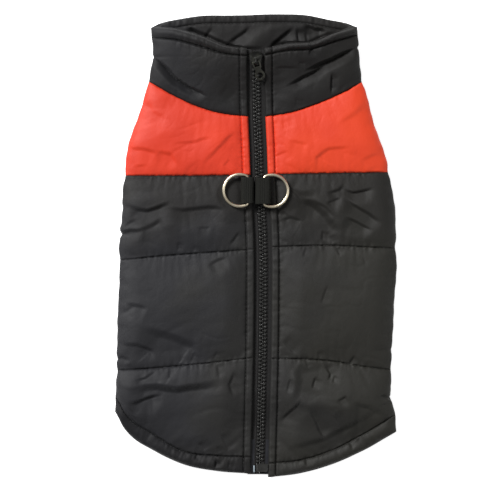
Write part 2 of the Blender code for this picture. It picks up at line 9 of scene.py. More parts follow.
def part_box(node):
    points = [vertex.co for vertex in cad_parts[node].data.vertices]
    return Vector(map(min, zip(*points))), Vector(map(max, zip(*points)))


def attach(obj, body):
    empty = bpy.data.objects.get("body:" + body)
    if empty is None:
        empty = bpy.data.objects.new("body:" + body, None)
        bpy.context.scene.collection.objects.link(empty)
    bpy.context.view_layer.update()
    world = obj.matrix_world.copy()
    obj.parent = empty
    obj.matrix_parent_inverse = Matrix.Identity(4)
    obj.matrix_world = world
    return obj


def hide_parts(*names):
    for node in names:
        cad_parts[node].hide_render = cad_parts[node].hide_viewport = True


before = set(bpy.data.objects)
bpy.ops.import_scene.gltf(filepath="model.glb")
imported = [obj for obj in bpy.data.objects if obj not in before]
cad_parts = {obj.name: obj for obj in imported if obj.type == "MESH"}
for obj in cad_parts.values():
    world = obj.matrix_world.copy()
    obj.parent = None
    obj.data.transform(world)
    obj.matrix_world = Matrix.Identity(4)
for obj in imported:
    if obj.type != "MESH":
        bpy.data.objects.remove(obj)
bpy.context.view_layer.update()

# ======================================================================================
# Lower back panels. Black nylon over filling, one each side of the zip, quilted across
# into three channels. They are cut like the rest of the back: from the placket edge beside
# the zip out to the side fold, between lines that run across the vest.
# Sizes here and below are in millimetres; meshes are written in metres.
# ======================================================================================
MM = 0.001
LEFT, RIGHT = -1, 1
WORDS = {LEFT: "left", RIGHT: "right"}
GAP = 0.3  # between two pieces that meet

BACK_FLOOR = 5.9  # inner face of the back layer
FOLD_Z = 5.5  # where the two layers meet at the side folds
SEAM_RISE = 3.5  # thickness along a seam
PUFF_RISE = 3.3  # what the filling adds between two seams
PLACKET_RISE = 4.5  # the turned edge beside the zip
TAPE_TOP = 7.1
WALL = 5.0  # cloth and filling at the side folds
BACK_ROLL = 18.0  # how far in from the fold the back layer is round
ZIP_OPENING = 13.8  # between the two placket edges
PLACKET = 6.0  # from the placket edge to its topstitching
NECK_RISE = 9.5  # the open collar stands this far off the rear one
TAIL_RUN = 34.0  # past the belly hem the back layer comes down over this length

# The zip's middle line and the two side folds, from the tail to the collar.
#    y      zip    left    right
COURSE = np.array((
    (-190.0, 2.6, -112.6, 112.2),
    (-147.0, 3.6, -112.6, 112.2),
    (-133.0, 4.0, -112.4, 111.4),
    (-120.0, 4.2, -112.8, 107.4),
    (-98.0, 4.8, -111.8, 108.8),
    (-60.0, 5.4, -110.8, 109.8),
    (-8.0, 5.6, -109.4, 112.8),
    (16.0, 4.9, -108.0, 112.0),
    (58.0, 2.5, -105.6, 107.2),
    (78.0, 1.8, -102.4, 101.6),
    (104.0, 0.6, -94.4, 92.6),
    (131.0, 0.0, -86.6, 86.0),
    (150.0, -0.1, -82.6, 83.2),
    (176.0, -0.2, -84.0, 80.4),
    (186.0, -0.2, -84.0, 80.4),
))
COURSE_COLUMN = {"zip": 1, LEFT: 2, RIGHT: 3}

# Lines across the vest: y at these shares of the way from the zip to the side fold.
SHARES = (0.0, 0.25, 0.5, 0.75, 0.9, 1.0)
LINES = {
    "rim": {
        LEFT: (156.7, 159.5, 167.6, 173.2, 174.1, 174.8),
        RIGHT: (156.7, 160.8, 162.4, 169.7, 173.0, 175.4),
    },
    "casing": {
        LEFT: (151.2, 153.2, 159.0, 164.4, 166.0, 166.8),
        RIGHT: (151.8, 155.6, 157.2, 163.4, 166.8, 169.0),
    },
    "crease": {
        LEFT: (115.0, 115.0, 123.0, 138.0, 145.9, 151.0),
        RIGHT: (115.0, 127.0, 138.0, 149.0, 155.6, 160.0),
    },
    "yoke_seam": {
        LEFT: (103.4, 106.0, 112.2, 121.4, 127.4, 131.4),
        RIGHT: (103.4, 106.8, 113.6, 121.8, 127.3, 131.0),
    },
    "chest_seam": {
        LEFT: (56.8, 56.4, 56.2, 56.2, 56.3, 56.4),
        RIGHT: (57.4, 57.8, 58.2, 58.6, 58.8, 59.0),
    },
    "quilt_1": {
        LEFT: (-2.7, -4.6, -6.5, -8.7, -10.4, -11.5),
        RIGHT: (-0.8, 0.1, 0.3, -0.8, -1.5, -2.0),
    },
    "quilt_2": {
        LEFT: (-89.2, -92.6, -95.4, -97.8, -98.8, -99.4),
        RIGHT: (-90.0, -90.3, -92.0, -96.0, -97.9, -99.1),
    },
    "hem_seam": {
        LEFT: (-168.8, -168.0, -164.4, -148.8, -137.6, -120.5),
        RIGHT: (-174.2, -171.6, -163.8, -150.4, -141.0, -134.4),
    },
    "hem_edge": {
        LEFT: (-182.6, -180.6, -175.2, -162.4, -150.8, -132.5),
        RIGHT: (-185.6, -182.4, -175.2, -163.8, -154.8, -148.6),
    },
    "rear_rim": {
        LEFT: (185.3, 184.9, 184.7, 181.6, 178.8, 174.8),
        RIGHT: (185.6, 185.9, 185.2, 181.2, 178.8, 175.4),
    },
    "belly_seam": {
        LEFT: (-102.0, -103.0, -106.0, -111.0, -115.4, -120.5),
        RIGHT: (-102.0, -103.0, -107.0, -116.6, -125.6, -134.4),
    },
    "belly_edge": {
        LEFT: (-114.0, -115.0, -118.0, -122.0, -126.6, -132.5),
        RIGHT: (-114.0, -115.0, -119.0, -129.0, -138.6, -148.6),
    },
}
SEWN_TO_FOLD = ("yoke_seam", "chest_seam", "quilt_1", "quilt_2")
PINCH, PINCH_REACH = 1.1, 5.0  # the side fold is drawn in where a line of stitching ends
# Where a crease runs out over the side fold: its y, how deep it cuts in, and its reach.
NOTCHES = {
    LEFT: (
        (9.3, 1.6, 1.7), (14.5, -0.9, 2.6), (31.0, 0.5, 2.5), (-50.0, 0.5, 5.0), (-90.0, 0.9, 2.2),
        (151.0, 0.7, 1.4),
    ),
    RIGHT: ((-83.5, 0.8, 1.5), (-121.5, 1.2, 1.6), (-112.0, 0.4, 2.0), (18.0, 0.5, 4.0), (158.5, 1.0, 1.4)),
}
# The side fold is never quite straight: how high, how long and where in its run each ripple is.
RIPPLES = ((0.35, 7.3, 1), (0.3, 11.9, 2), (0.14, 1.9, 1))


def smooth(share):
    share = np.clip(share, 0.0, 1.0)
    return share * share * (3 - 2 * share)


def bell(distance, reach):
    """1 where the distance is 0, and next to nothing past twice the reach."""
    return np.exp(-((distance / reach) ** 2))


def quarter(share):
    """A quarter circle's height, from 0 at its foot to 1."""
    return np.sqrt(1 - (1 - np.clip(share, 0, 1)) ** 2)


def points(*axes):
    """One array of points from the values along each axis."""
    return np.stack(np.broadcast_arrays(*axes), -1)


def through(places, values, at):
    """Values at places of a smooth curve through a table's points."""
    places, values = np.asarray(places), np.asarray(values)
    at = np.clip(at, places[0], places[-1])
    last = len(places) - 1
    k = np.clip(np.searchsorted(places, at, side="right") - 1, 0, last - 1)
    low = np.maximum(np.arange(last + 1) - 1, 0)
    high = np.minimum(np.arange(last + 1) + 1, last)
    slope = (values[high] - values[low]) / (places[high] - places[low])
    span = places[k + 1] - places[k]
    t = (at - places[k]) / span
    return (
        values[k] * (2 * t**3 - 3 * t**2 + 1)
        + span * slope[k] * (t**3 - 2 * t**2 + t)
        + values[k + 1] * (3 * t**2 - 2 * t**3)
        + span * slope[k + 1] * (t**3 - t**2)
    )


def line_y(line, side, share):
    return through(SHARES, LINES[line][side], share)


def zip_x(y):
    return through(COURSE[:, 0], COURSE[:, COURSE_COLUMN["zip"]], y)


def fold_x(side, y):
    inward = sum(height * np.sin(y / length + phase * side) for height, length, phase in RIPPLES)
    for line in SEWN_TO_FOLD:
        inward = inward + PINCH * bell(y - LINES[line][side][-1], PINCH_REACH)
    for at, depth, reach in NOTCHES[side]:
        inward = inward + depth * bell(y - at, reach)
    return through(COURSE[:, 0], COURSE[:, COURSE_COLUMN[side]], y) - side * inward


def lift(side, share, y):
    """How far the back layer is above its place over the belly, at the neck, or below it, at the tail."""
    crease, rim = line_y("crease", side, share), line_y("rim", side, share)
    neck = NECK_RISE * (1 - share**3) * smooth((y - crease) / (rim - crease))
    return neck - BACK_FLOOR * smooth((line_y("belly_edge", side, share) - y) / TAIL_RUN)


def uneven(x, y, size, seed):
    """Soft noise between about -1 and 1, the same on each run."""
    x, y = np.broadcast_arrays(x, y)
    spots = zip((x / size).ravel(), (y / size).ravel())
    made = np.fromiter((noise.noise((a, b, seed * 7.31)) for a, b in spots), float, x.size)
    return made.reshape(x.shape) * 1.6


def places(near, count, far):
    """Positions along a span: close together at both ends, even between. Each is fixed + part * rest."""
    fixed = [*near, *[near[-1]] * count, *(near[-1] + far[-1] - step for step in reversed(far))]
    part = [0.0] * len(near) + [(k + 1) / (count + 1) for k in range(count)] + [1.0] * len(far)
    return np.array(fixed), np.array(part), near[-1] + far[-1]


def roll_steps(width, count):
    """Distances in over a round edge, closest together at its end."""
    return tuple(width * (1 - math.cos(math.pi / 2 * k / count)) for k in range(count + 1))


SEAM_SLANT = 0.8  # the seam allowances underneath are turned towards the collar
EDGE_STEPS = (0, 0.1, 0.4, 0.9, 1.6, 2.6, 3.8, 4.8, 5.4, 5.75, 6.0, 6.25, 6.6, 7.2, 8.2, 9.5, 11.0)
PLACKET_COLUMN = EDGE_STEPS.index(PLACKET)
SEAM_STEPS = (0, 0.35, 0.8, 1.4, 2.1, 3.0, 4.1)
FREE_STEPS = (0, 0.1, 0.35, 0.75, 1.3, 2.0)  # from an edge that isn't sewn on


class BackCut:
    """The points of one back panel: for each row and column where it lies, and how far from its edges."""

    def __init__(self, side, lines, rows, columns):
        self.side = side
        fixed_c, part_c, reach_c = columns
        share = np.tile((fixed_c + part_c * 60) / (60 + reach_c), (sum(len(r[0]) for r in rows), 1))
        for _ in range(5):
            bands = []
            for k, (fixed, part, reach) in enumerate(rows):
                first, last = sum(len(r[0]) for r in rows[:k]), sum(len(r[0]) for r in rows[: k + 1])
                here = share[first:last]
                low = line_y(lines[k], side, here) + (GAP / 2 if k == 0 else 0)
                high = line_y(lines[k + 1], side, here) - (GAP / 2 if k == len(rows) - 1 else 0)
                from_low = fixed[:, None] + part[:, None] * (high - low - reach)
                bands.append((low + from_low, from_low, high - low))
            self.y, self.from_low, self.height = (np.vstack(item) for item in zip(*bands))
            self.edge_x = zip_x(self.y) + side * ZIP_OPENING / 2
            self.width = np.abs(fold_x(side, self.y) - self.edge_x)
            self.from_zip = fixed_c + part_c * (self.width - reach_c)
            share = np.clip(self.from_zip / self.width, 0, 1)
        self.share = share
        self.x = self.edge_x + side * self.from_zip
        self.inward = self.width - self.from_zip
        self.up = np.clip(self.from_low / self.height, 0, 1)  # share of the way across the channel
        self.channel = np.concatenate([np.full(len(r[0]), k) for k, r in enumerate(rows)])[:, None]
        self.from_seam = np.minimum(self.from_low, self.height - self.from_low)
        self.lift = lift(side, share, self.y)

    def over_fold(self, height):
        """The outer face rolls down to the side fold."""
        seam = FOLD_Z + GAP / 2
        return seam + (height - seam) * quarter(self.inward / BACK_ROLL)

    def outer(self, fullness):
        puff = np.sin(math.pi * self.up) ** 0.9
        padding = smooth((self.from_zip - PLACKET + 0.6) / 20)
        full = fullness * (1 + 0.2 * uneven(self.x, self.y, 30, self.side + 3))
        turned = smooth((PLACKET + 1 - self.from_zip) / 2) * (PLACKET_RISE - SEAM_RISE)
        return BACK_FLOOR + SEAM_RISE + self.lift + turned + PUFF_RISE * full * puff * padding

    def inner(self):
        tuck = WALL + self.inward * (1 - WALL / BACK_ROLL)
        fold = self.edge_x + self.side * self.width
        x = np.where(self.inward < BACK_ROLL, fold - self.side * tuck, self.x)
        over_tape = (TAPE_TOP + 2 * GAP - BACK_FLOOR) * smooth((PLACKET - self.from_zip) / 2)
        y = self.y + SEAM_SLANT * np.exp(-self.from_seam / 1.5)
        return points(x, y, BACK_FLOOR + self.lift + over_tape)


def placed(name, data):
    """A new object in the scene."""
    item = bpy.data.objects.new(name, data)
    bpy.context.scene.collection.objects.link(item)
    return item


def mesh_from(name, bm):
    mesh = bpy.data.meshes.new(name)
    bm.to_mesh(mesh)
    bm.free()
    return mesh


def new_grid(rows, columns):
    bm = bmesh.new()
    bmesh.ops.create_grid(bm, x_segments=columns - 1, y_segments=rows - 1, size=0.5)
    return bm


def grid_points(mesh, rows, columns):
    """The points of a mesh made from a new grid, and the row and column of each."""
    spots = np.empty(len(mesh.vertices) * 3)
    mesh.vertices.foreach_get("co", spots)
    spots = spots.reshape(-1, 3)
    column = np.rint((spots[:, 0] + 0.5) * (columns - 1)).astype(int)
    row = np.rint((spots[:, 1] + 0.5) * (rows - 1)).astype(int)
    return spots, row, column


SETTLE_SCALE = 10 * MM  # the solver is steadier at ten times the real size
SETTLE_STEP = 1.5  # between the points of the simulated layer
SETTLE_FRAMES = 25
GATHER = (-0.012, -0.045)  # cloth grows by this much, so that it puckers between its stitching
GATHER_LEVELS = 20
PRESSURE, BEND = 2.0, 1.5
MOST_SETTLED = 3.0  # no point moves further


def settle(rest, pinned, drawn):
    """Blender's cloth simulation on one layer held along its stitching. drawn says where the
    thread has gathered it, from 0 to 1. Returns how far each point moves, in millimetres."""
    rows, columns = pinned.shape
    mesh = mesh_from("settling", new_grid(rows, columns))
    spots, row, column = grid_points(mesh, rows, columns)
    mesh.vertices.foreach_set("co", (rest[row, column] * SETTLE_SCALE).ravel())
    cloth = placed("settling", mesh)
    held = cloth.vertex_groups.new(name="held")
    held.add(np.nonzero(pinned[row, column])[0].tolist(), 1.0, "REPLACE")
    gathered = cloth.vertex_groups.new(name="gathered")
    levels = np.rint(np.clip(drawn[row, column], 0, 1) * GATHER_LEVELS).astype(int)
    for level in range(GATHER_LEVELS + 1):
        gathered.add(np.nonzero(levels == level)[0].tolist(), level / GATHER_LEVELS, "REPLACE")
    modifier = cloth.modifiers.new("Cloth", "CLOTH")
    modifier.collision_settings.use_collision = False
    modifier.point_cache.frame_start, modifier.point_cache.frame_end = 1, SETTLE_FRAMES
    nylon = modifier.settings
    nylon.quality = 6
    nylon.mass = 0.3
    nylon.tension_stiffness = nylon.compression_stiffness = 15
    nylon.shear_stiffness = 5
    nylon.bending_stiffness = BEND
    nylon.air_damping = 1
    nylon.vertex_group_mass = "held"
    nylon.use_pressure = True
    nylon.uniform_pressure_force = PRESSURE
    nylon.effector_weights.gravity = 0
    nylon.vertex_group_shrink = "gathered"
    nylon.shrink_min, nylon.shrink_max = GATHER
    for number in range(1, SETTLE_FRAMES + 1):
        bpy.context.scene.frame_set(number)
    settled = cloth.evaluated_get(bpy.context.evaluated_depsgraph_get()).to_mesh()
    settled.vertices.foreach_get("co", spots.reshape(-1))
    moved = np.zeros_like(rest)
    moved[row, column] = spots / SETTLE_SCALE - rest[row, column]
    bpy.data.objects.remove(cloth, do_unlink=True)
    bpy.data.meshes.remove(mesh)
    bpy.context.scene.frame_set(1)
    return moved


def resample(field, row, column):
    """A field at places between its points, through a cubic B-spline."""
    def weights(f):
        return ((1 - f) ** 3, 3 * f**3 - 6 * f**2 + 4, -3 * f**3 + 3 * f**2 + 3 * f + 1, f**3)

    row0, column0 = np.floor(row).astype(int), np.floor(column).astype(int)
    total = 0.0
    for i, weight_r in enumerate(weights(row - row0)):
        at_row = np.clip(row0 + i - 1, 0, field.shape[0] - 1)
        for j, weight_c in enumerate(weights(column - column0)):
            at_column = np.clip(column0 + j - 1, 0, field.shape[1] - 1)
            total = total + (weight_r * weight_c / 36)[..., None] * field[at_row, at_column]
    return total


def puckers(cut, lines, fullness, seed):
    """How the filled panel puckers between its lines of stitching, at the points of its cut."""
    side = cut.side
    counts = []
    for low, high in zip(lines, lines[1:]):
        height = max(abs(line_y(high, side, share) - line_y(low, side, share)) for share in (0.1, 1.0))
        counts.append(max(int(height / SETTLE_STEP), 8))
    across = int((cut.width.max() - PLACKET) / SETTLE_STEP)
    columns = places((PLACKET,), across - 1, (0,))
    rows = [places((0,), n - 1, (0,)) for n in counts]
    # Two channels share the row of points that lies on the stitching between them.
    coarse = BackCut(side, lines, rows, columns)
    keep = np.ones(len(coarse.y), bool)
    starts = np.cumsum([0] + [n + 1 for n in counts])
    keep[starts[1:-1]] = False
    rest = points(coarse.x, coarse.y, coarse.over_fold(coarse.outer(fullness)))[keep]
    rest[..., 2] += np.random.default_rng(seed).normal(0, 0.02, rest.shape[:2])
    near = 0.01
    pinned = (coarse.from_seam < near) | (coarse.inward < near) | (coarse.from_zip < PLACKET + near)
    patchy = 0.62 + 0.55 * uneven(coarse.x, coarse.y, 17, seed)
    reach = 11 * (1 + 0.5 * uneven(coarse.x, coarse.y, 30, seed + 5))
    drawn = (np.exp(-coarse.from_seam / np.maximum(reach, 4)) * patchy)[keep]
    order = slice(None, None, side)
    moved = settle(rest[:, order], pinned[keep][:, order], drawn[:, order])[:, order]
    first = np.cumsum([0] + counts)[cut.channel]
    at_row = first + cut.up * np.array(counts)[cut.channel]
    at_column = np.clip((cut.from_zip - PLACKET) / (cut.width - PLACKET), 0, 1) * (columns[0].size - 1)
    moved = resample(moved, at_row, at_column)
    length = np.linalg.norm(moved, axis=-1, keepdims=True) + 1e-9
    moved *= MOST_SETTLED * np.tanh(length / MOST_SETTLED) / length
    return moved * smooth((cut.from_zip - PLACKET) / 3)[..., None]


TO_WINDOW = (-0.74, 0.67)
# A crease's sides, as shares of its width, and the thin slit along its middle.
OVERHANG, SLOPE = 0.95, 5.0
SLIT_WIDTH, SLIT_DEPTH = 0.8, 0.9
CREASE_END = 2.9  # it fades out over the last third of its length
FULL_LENGTH = 26  # a shorter one is slight


def crease_field(x, y, creases, seed):
    """Listed creases: height added at each point. The side towards the window is the steep one,
    so that it is in shade."""
    wander_x = x + 1.0 * uneven(x, y, 19, seed) + 0.15 * uneven(x, y, 5, seed + 1)
    wander_y = y + 1.0 * uneven(x, y, 19, seed + 2) + 0.15 * uneven(x, y, 5, seed + 3)
    total = np.zeros_like(x)
    for path, width, depth in creases:
        best, beside, along = np.full(x.shape, 1e9), np.zeros_like(x), np.zeros_like(x)
        lengths = [math.dist(a, b) for a, b in zip(path, path[1:])]
        done = 0.0
        for (x0, y0), (x1, y1), length in zip(path, path[1:], lengths):
            share = ((wander_x - x0) * (x1 - x0) + (wander_y - y0) * (y1 - y0)) / length**2
            limited = np.clip(share, 0, 1)
            gap_x = wander_x - x0 - limited * (x1 - x0)
            gap_y = wander_y - y0 - limited * (y1 - y0)
            distance = np.hypot(gap_x, gap_y)
            nearer = distance < best
            sign = np.sign((x1 - x0) * gap_y - (y1 - y0) * gap_x)
            best = np.where(nearer, distance, best)
            beside = np.where(nearer, distance * sign, beside)
            along = np.where(nearer, (done + limited * length) / sum(lengths), along)
            done += length
        run_x, run_y = path[-1][0] - path[0][0], path[-1][1] - path[0][1]
        beside *= 1 if run_x * TO_WINDOW[1] - run_y * TO_WINDOW[0] > 0 else -1
        fade = smooth(CREASE_END * along + 0.05) * smooth(CREASE_END * (1 - along) + 0.05)
        slight = 0.35 + 0.65 * smooth(sum(lengths) / FULL_LENGTH)
        overhang = 1 - smooth(beside / (OVERHANG * width))
        slope = 1 - smooth(-beside / (SLOPE * width))
        slit = (SLIT_DEPTH / width) ** 2 * bell(beside, SLIT_WIDTH)
        total -= slight * depth * fade * (np.where(beside > 0, overhang, slope) + slit)
    return total


# Wrinkles of three sizes: how far apart they are, how drawn out and how deep.
WRINKLES = ((26, 1.9, 0.75), (15, 1.7, 0.42), (8, 1.4, 0.22))
VALLEY = 0.16


def wrinkles(x, y, run, seed):
    """Fine wrinkles of thin nylon: narrow valleys along winding lines, deeper in some places. Each is
    drawn out along one direction, run radians from the X axis."""
    along = x * math.cos(run) + y * math.sin(run)
    across = y * math.cos(run) - x * math.sin(run)
    total = np.zeros_like(x)
    for size, stretch, depth in WRINKLES:
        ridge = uneven(along / stretch, across, size, seed + size)
        patch = smooth(0.3 + 1.1 * uneven(x, y, 1.7 * size, seed + size + 1))
        total += depth * (0.5 * ridge - 0.45 * patch * bell(ridge, VALLEY))
    return total


def cloth_wall(name, outer, inner, cloth_uv, material):
    """A wall of cloth: a grid, extruded once, whose two faces lie on the two layers of points."""
    if outer[0, -1, 0] < outer[0, 0, 0]:
        outer, inner, cloth_uv = outer[:, ::-1], inner[:, ::-1], cloth_uv[:, ::-1]
    rows, columns = outer.shape[:2]
    bm = new_grid(rows, columns)
    made = bmesh.ops.extrude_face_region(bm, geom=bm.faces[:])
    raised = [item for item in made["geom"] if isinstance(item, bmesh.types.BMVert)]
    bmesh.ops.translate(bm, verts=raised, vec=(0, 0, 1))
    bmesh.ops.recalc_face_normals(bm, faces=bm.faces[:])
    mesh = mesh_from(name, bm)
    spots, row, column = grid_points(mesh, rows, columns)
    on_top = spots[:, 2:] > 0.5
    spots = np.where(on_top, outer[row, column], inner[row, column]) * MM
    mesh.vertices.foreach_set("co", spots.ravel())
    corners = np.empty(len(mesh.loops), int)
    mesh.loops.foreach_get("vertex_index", corners)
    layer = mesh.uv_layers.new(name="cloth")
    layer.data.foreach_set("uv", cloth_uv[row, column][corners].ravel())
    mesh.polygons.foreach_set("use_smooth", np.ones(len(mesh.polygons), bool))
    mesh.set_sharp_from_angle(angle=math.radians(55))
    mesh.materials.append(material)
    mesh.update()
    item = placed(name, mesh)
    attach(item, "vest")
    return item


def shut_edge(top, under, distance, reach):
    """Towards a free edge the two faces of the wall come together, round."""
    shut = quarter(distance / reach)
    middle = (top + under) / 2
    return middle + (top - middle) * shut, middle - (middle - under) * shut


EDGE_ROLL, EDGE_LIP = 1.7, 0.3  # the placket's turned edge is round, and thin where it ends
GROOVE, GROOVE_REACH = 1.5, 0.6  # thread pulls the cloth down along topstitching
SEAM_DIP, SEAM_REACH = 1.2, 0.55
# Puckers along a seam, and across the placket beside its topstitching: height and reach.
TICK_HEIGHT, TICK_REACH = 0.8, 1.7
TUCK_HEIGHT, TUCK_REACH = 0.3, 3.6
PLACKET_PUCKER, PLACKET_PUCKER_REACH = 0.3, 2.4
THINNEST = 0.05

# Each D-ring lies on the panels and presses them down: its middle, how far out its wire is, and
# how high the cloth is under it and at the end of the slope round it.
RING_MIDDLES = ((-13.1, 44.4), (12.7, 44.0))
RING_REACH, RING_SLOPE = 14.5, 9.0
UNDER_RING, BESIDE_RING = 12.3, 3.5
RING_EASE = 1.5
BELOW_RINGS = 8.0  # cloth this low isn't pressed
MIDDLE_COLUMNS = 92


def back_piece(
    name, side, lines, rows, creases, material, seed, fullness=1.0, puckered=1.0, free_low=0.0,
    free_high=0.0, extra=None,
):
    """One panel of the back layer. fullness is the share of the usual filling, and puckered how much
    its seams draw it up. free_low and free_high are the rounding of an edge that isn't sewn on.
    extra gives what is added to its height."""
    cut = BackCut(side, lines, rows, places(EDGE_STEPS, MIDDLE_COLUMNS, roll_steps(BACK_ROLL, 16)))
    height = cut.outer(fullness)
    height += crease_field(cut.x, cut.y, creases, seed)
    sewn = cut.from_seam.copy()
    to_low = cut.from_low + 1e3 * (cut.channel > 0)
    to_high = cut.height - cut.from_low + 1e3 * (cut.channel < len(rows) - 1)
    if free_low:
        sewn = np.where(cut.channel == 0, cut.height - cut.from_low, sewn)
    if free_high:
        sewn = np.where(cut.channel == len(rows) - 1, cut.from_low, sewn)
    bitten = 0.8 + 0.5 * uneven(cut.x * 2.6, cut.y * 0.4, 5, seed + 8)
    height -= SEAM_DIP * bitten * bell(sewn, SEAM_REACH)
    height -= GROOVE * bell(cut.from_zip - PLACKET, GROOVE_REACH)
    cross = uneven(cut.x, cut.y * 2.2, 9, seed + 20) * smooth((PLACKET + 4 - cut.from_zip) / 4)
    fine = uneven(cut.x * 0.5, cut.y * 2.4, 5, seed + 21)
    fine *= bell(cut.from_zip - PLACKET, PLACKET_PUCKER_REACH)
    height += (PLACKET_PUCKER * cross + PLACKET_PUCKER * fine) * smooth(cut.from_zip / 1.5)
    ticks = uneven(cut.x * 2.3, cut.y * 0.5, 5, seed + 9) * np.exp(-sewn / TICK_REACH)
    tucks = uneven(cut.x * 1.1, cut.y * 0.4, 5, seed + 10) * np.exp(-sewn / TUCK_REACH)
    height += puckered * (TICK_HEIGHT * ticks + TUCK_HEIGHT * tucks) * smooth(sewn / 0.9)
    loose = smooth((cut.from_zip - PLACKET) / 5) * smooth(cut.from_seam / 3)
    height += wrinkles(cut.x, cut.y, -0.35 * side, seed + 30) * loose
    if extra is not None:
        height += extra(cut)
    under = cut.inner()
    top = points(cut.x, cut.y, cut.over_fold(height))
    top += (0.2 + 0.35 * puckered) * puckers(cut, lines, fullness, seed)
    for ring_x, ring_y in RING_MIDDLES:
        away = np.hypot(top[..., 0] - ring_x, top[..., 1] - ring_y) - RING_REACH
        limit = UNDER_RING + BESIDE_RING * smooth(away / RING_SLOPE)
        over = np.maximum(top[..., 2] - limit, -RING_EASE) + RING_EASE
        pressed = over - RING_EASE + RING_EASE * np.exp(-over / RING_EASE)
        top[..., 2] -= np.where(away < RING_SLOPE, pressed, 0) * (top[..., 2] > BELOW_RINGS)
    low = under[..., 2] + EDGE_LIP
    rolled = low + (top[..., 2] - low) * quarter(cut.from_zip / EDGE_ROLL)
    top[..., 2] = np.where(cut.from_zip < EDGE_ROLL, rolled, top[..., 2])
    for reach, distance in ((free_low, to_low), (free_high, to_high)):
        if reach:
            top[..., 2], under[..., 2] = shut_edge(top[..., 2], under[..., 2], distance, reach)
    top[..., 2] = np.maximum(top[..., 2], under[..., 2] + THINNEST)
    return cut, top, cloth_wall(name, top, under, points(cut.from_zip, cut.y), material)


class Value:
    """A number that varies over a surface. Sums on it add Math nodes."""

    def __init__(self, finish, socket):
        self.finish, self.socket = finish, socket

    def _math(self, operation, first, second):
        return self.finish.node("ShaderNodeMath", {"operation": operation}, {0: first, 1: second})

    def __add__(self, other):
        return self._math("ADD", self, other)

    def __sub__(self, other):
        return self._math("SUBTRACT", self, other)

    def __rsub__(self, other):
        return self._math("SUBTRACT", other, self)

    def __mul__(self, other):
        return self._math("MULTIPLY", self, other)

    __radd__, __rmul__ = __add__, __mul__


class Finish:
    """A material being made: node() adds any node, shade() sets or links the shader's sockets."""

    def __init__(self, name):
        self.material = bpy.data.materials.new(name)
        self.material.use_nodes = True
        self.tree = self.material.node_tree
        self.shader = self.tree.nodes["Principled BSDF"]

    def fill(self, node, inputs):
        for key, value in inputs.items():
            if isinstance(value, Value):
                self.tree.links.new(value.socket, node.inputs[key])
            else:
                node.inputs[key].default_value = value

    def node(self, kind, settings=None, inputs=None, output=0):
        made = self.tree.nodes.new(kind)
        for key, value in (settings or {}).items():
            if key == "stops":
                ramp = made.color_ramp.elements
                while len(ramp) < len(value):
                    ramp.new(0.5)
                for element, (place, colour) in zip(ramp, value):
                    element.position, element.color = place, colour
            else:
                setattr(made, key, value)
        self.fill(made, inputs or {})
        return Value(self, made.outputs[output])

    def shade(self, **sockets):
        self.fill(self.shader, {key.replace("_", " "): value for key, value in sockets.items()})
        return self.material

    def object_place(self, scale=(1, 1, 1), turn=0.0):
        inputs = {"Vector": self.node("ShaderNodeTexCoord", output="Object"), "Scale": scale}
        return self.node("ShaderNodeMapping", inputs={**inputs, "Rotation": (0, 0, turn)})

    def cloth_place(self):
        return self.node("ShaderNodeUVMap", {"uv_map": "cloth"})

    def noise(self, place, scale, detail=2.0, roughness=0.5):
        inputs = {"Vector": place, "Scale": scale, "Detail": detail, "Roughness": roughness}
        return self.node("ShaderNodeTexNoise", inputs=inputs)

    def wave(self, place, direction, scale, distortion=0.0):
        inputs = {"Vector": place, "Scale": scale, "Distortion": distortion}
        return self.node("ShaderNodeTexWave", {"bands_direction": direction}, inputs)

    def ramp(self, value, low, high, rising=True):
        """From 0 at low to 1 at high, or the other way round."""
        ends = ((0, 0, 0, 1), (1, 1, 1, 1))
        first, second = ends if rising else ends[::-1]
        return self.node("ShaderNodeValToRGB", {"stops": ((low, first), (high, second))}, {"Fac": value})

    def blend(self, factor, first, second):
        inputs = {"Factor": factor, "A": first, "B": second}
        return self.node("ShaderNodeMix", {"data_type": "RGBA"}, inputs, output="Result")

    def bump(self, height, strength, distance):
        inputs = {"Height": height, "Strength": strength, "Distance": distance}
        return self.node("ShaderNodeBump", inputs=inputs)


def nylon(name, dark, light, cool, warm, gloss, painted_shade_tint=None, shine=0.36):
    """Thin woven nylon: a fine plain weave, small crinkles, and slightly uneven colour and gloss. Painted
    window light makes it cooler towards the left side fold, and painted warm light makes it warmer on the
    right. The last colour, if given, is painted shade: darker and a little warmer next to the chest bands."""
    finish = Finish(name)
    spot = finish.object_place()
    patches = finish.noise(spot, 28, 3)
    # Painted light: a cool tint towards the window on the left side, a warm one on the right.
    across = finish.node("ShaderNodeSeparateXYZ", inputs={"Vector": spot}, output="X")
    drift = across * 5.0 + 0.5 + (finish.noise(finish.object_place((1, 1, 2), 0.3), 17, 2) - 0.5) * 1.3
    to_cool = finish.ramp(drift, 0.12, 0.42, rising=False)
    to_warm = finish.ramp(drift, 0.56, 1.0)
    crinkle = finish.noise(finish.object_place((1.25, 1, 1), 0.6), 260, 3, 0.55)
    weave, weft = (finish.wave(finish.cloth_place(), direction, 0.9) for direction in "XY")
    height = crinkle * 0.8 + weave * 0.06 + weft * 0.06
    colour = finish.blend(to_cool * 0.8, finish.blend(patches, dark, light), cool)
    colour = finish.blend(to_warm * 0.8, colour, warm)
    if painted_shade_tint:
        # Painted shade: darker and a little warmer from the upper quilting line up to the chest bands.
        upward = finish.node("ShaderNodeSeparateXYZ", inputs={"Vector": spot}, output="Y")
        near = finish.ramp(upward * 10.0 + (patches - 0.5) * 0.8, 0.0, 0.38)
        colour = finish.blend(near * 0.75, colour, painted_shade_tint)
    return finish.shade(
        Base_Color=colour,
        Roughness=gloss + patches * 0.1 + crinkle * 0.08,
        Specular_IOR_Level=shine,
        Sheen_Weight=0.04,
        Sheen_Roughness=0.5,
        Normal=finish.bump(height, 0.3, 0.0008),
    )
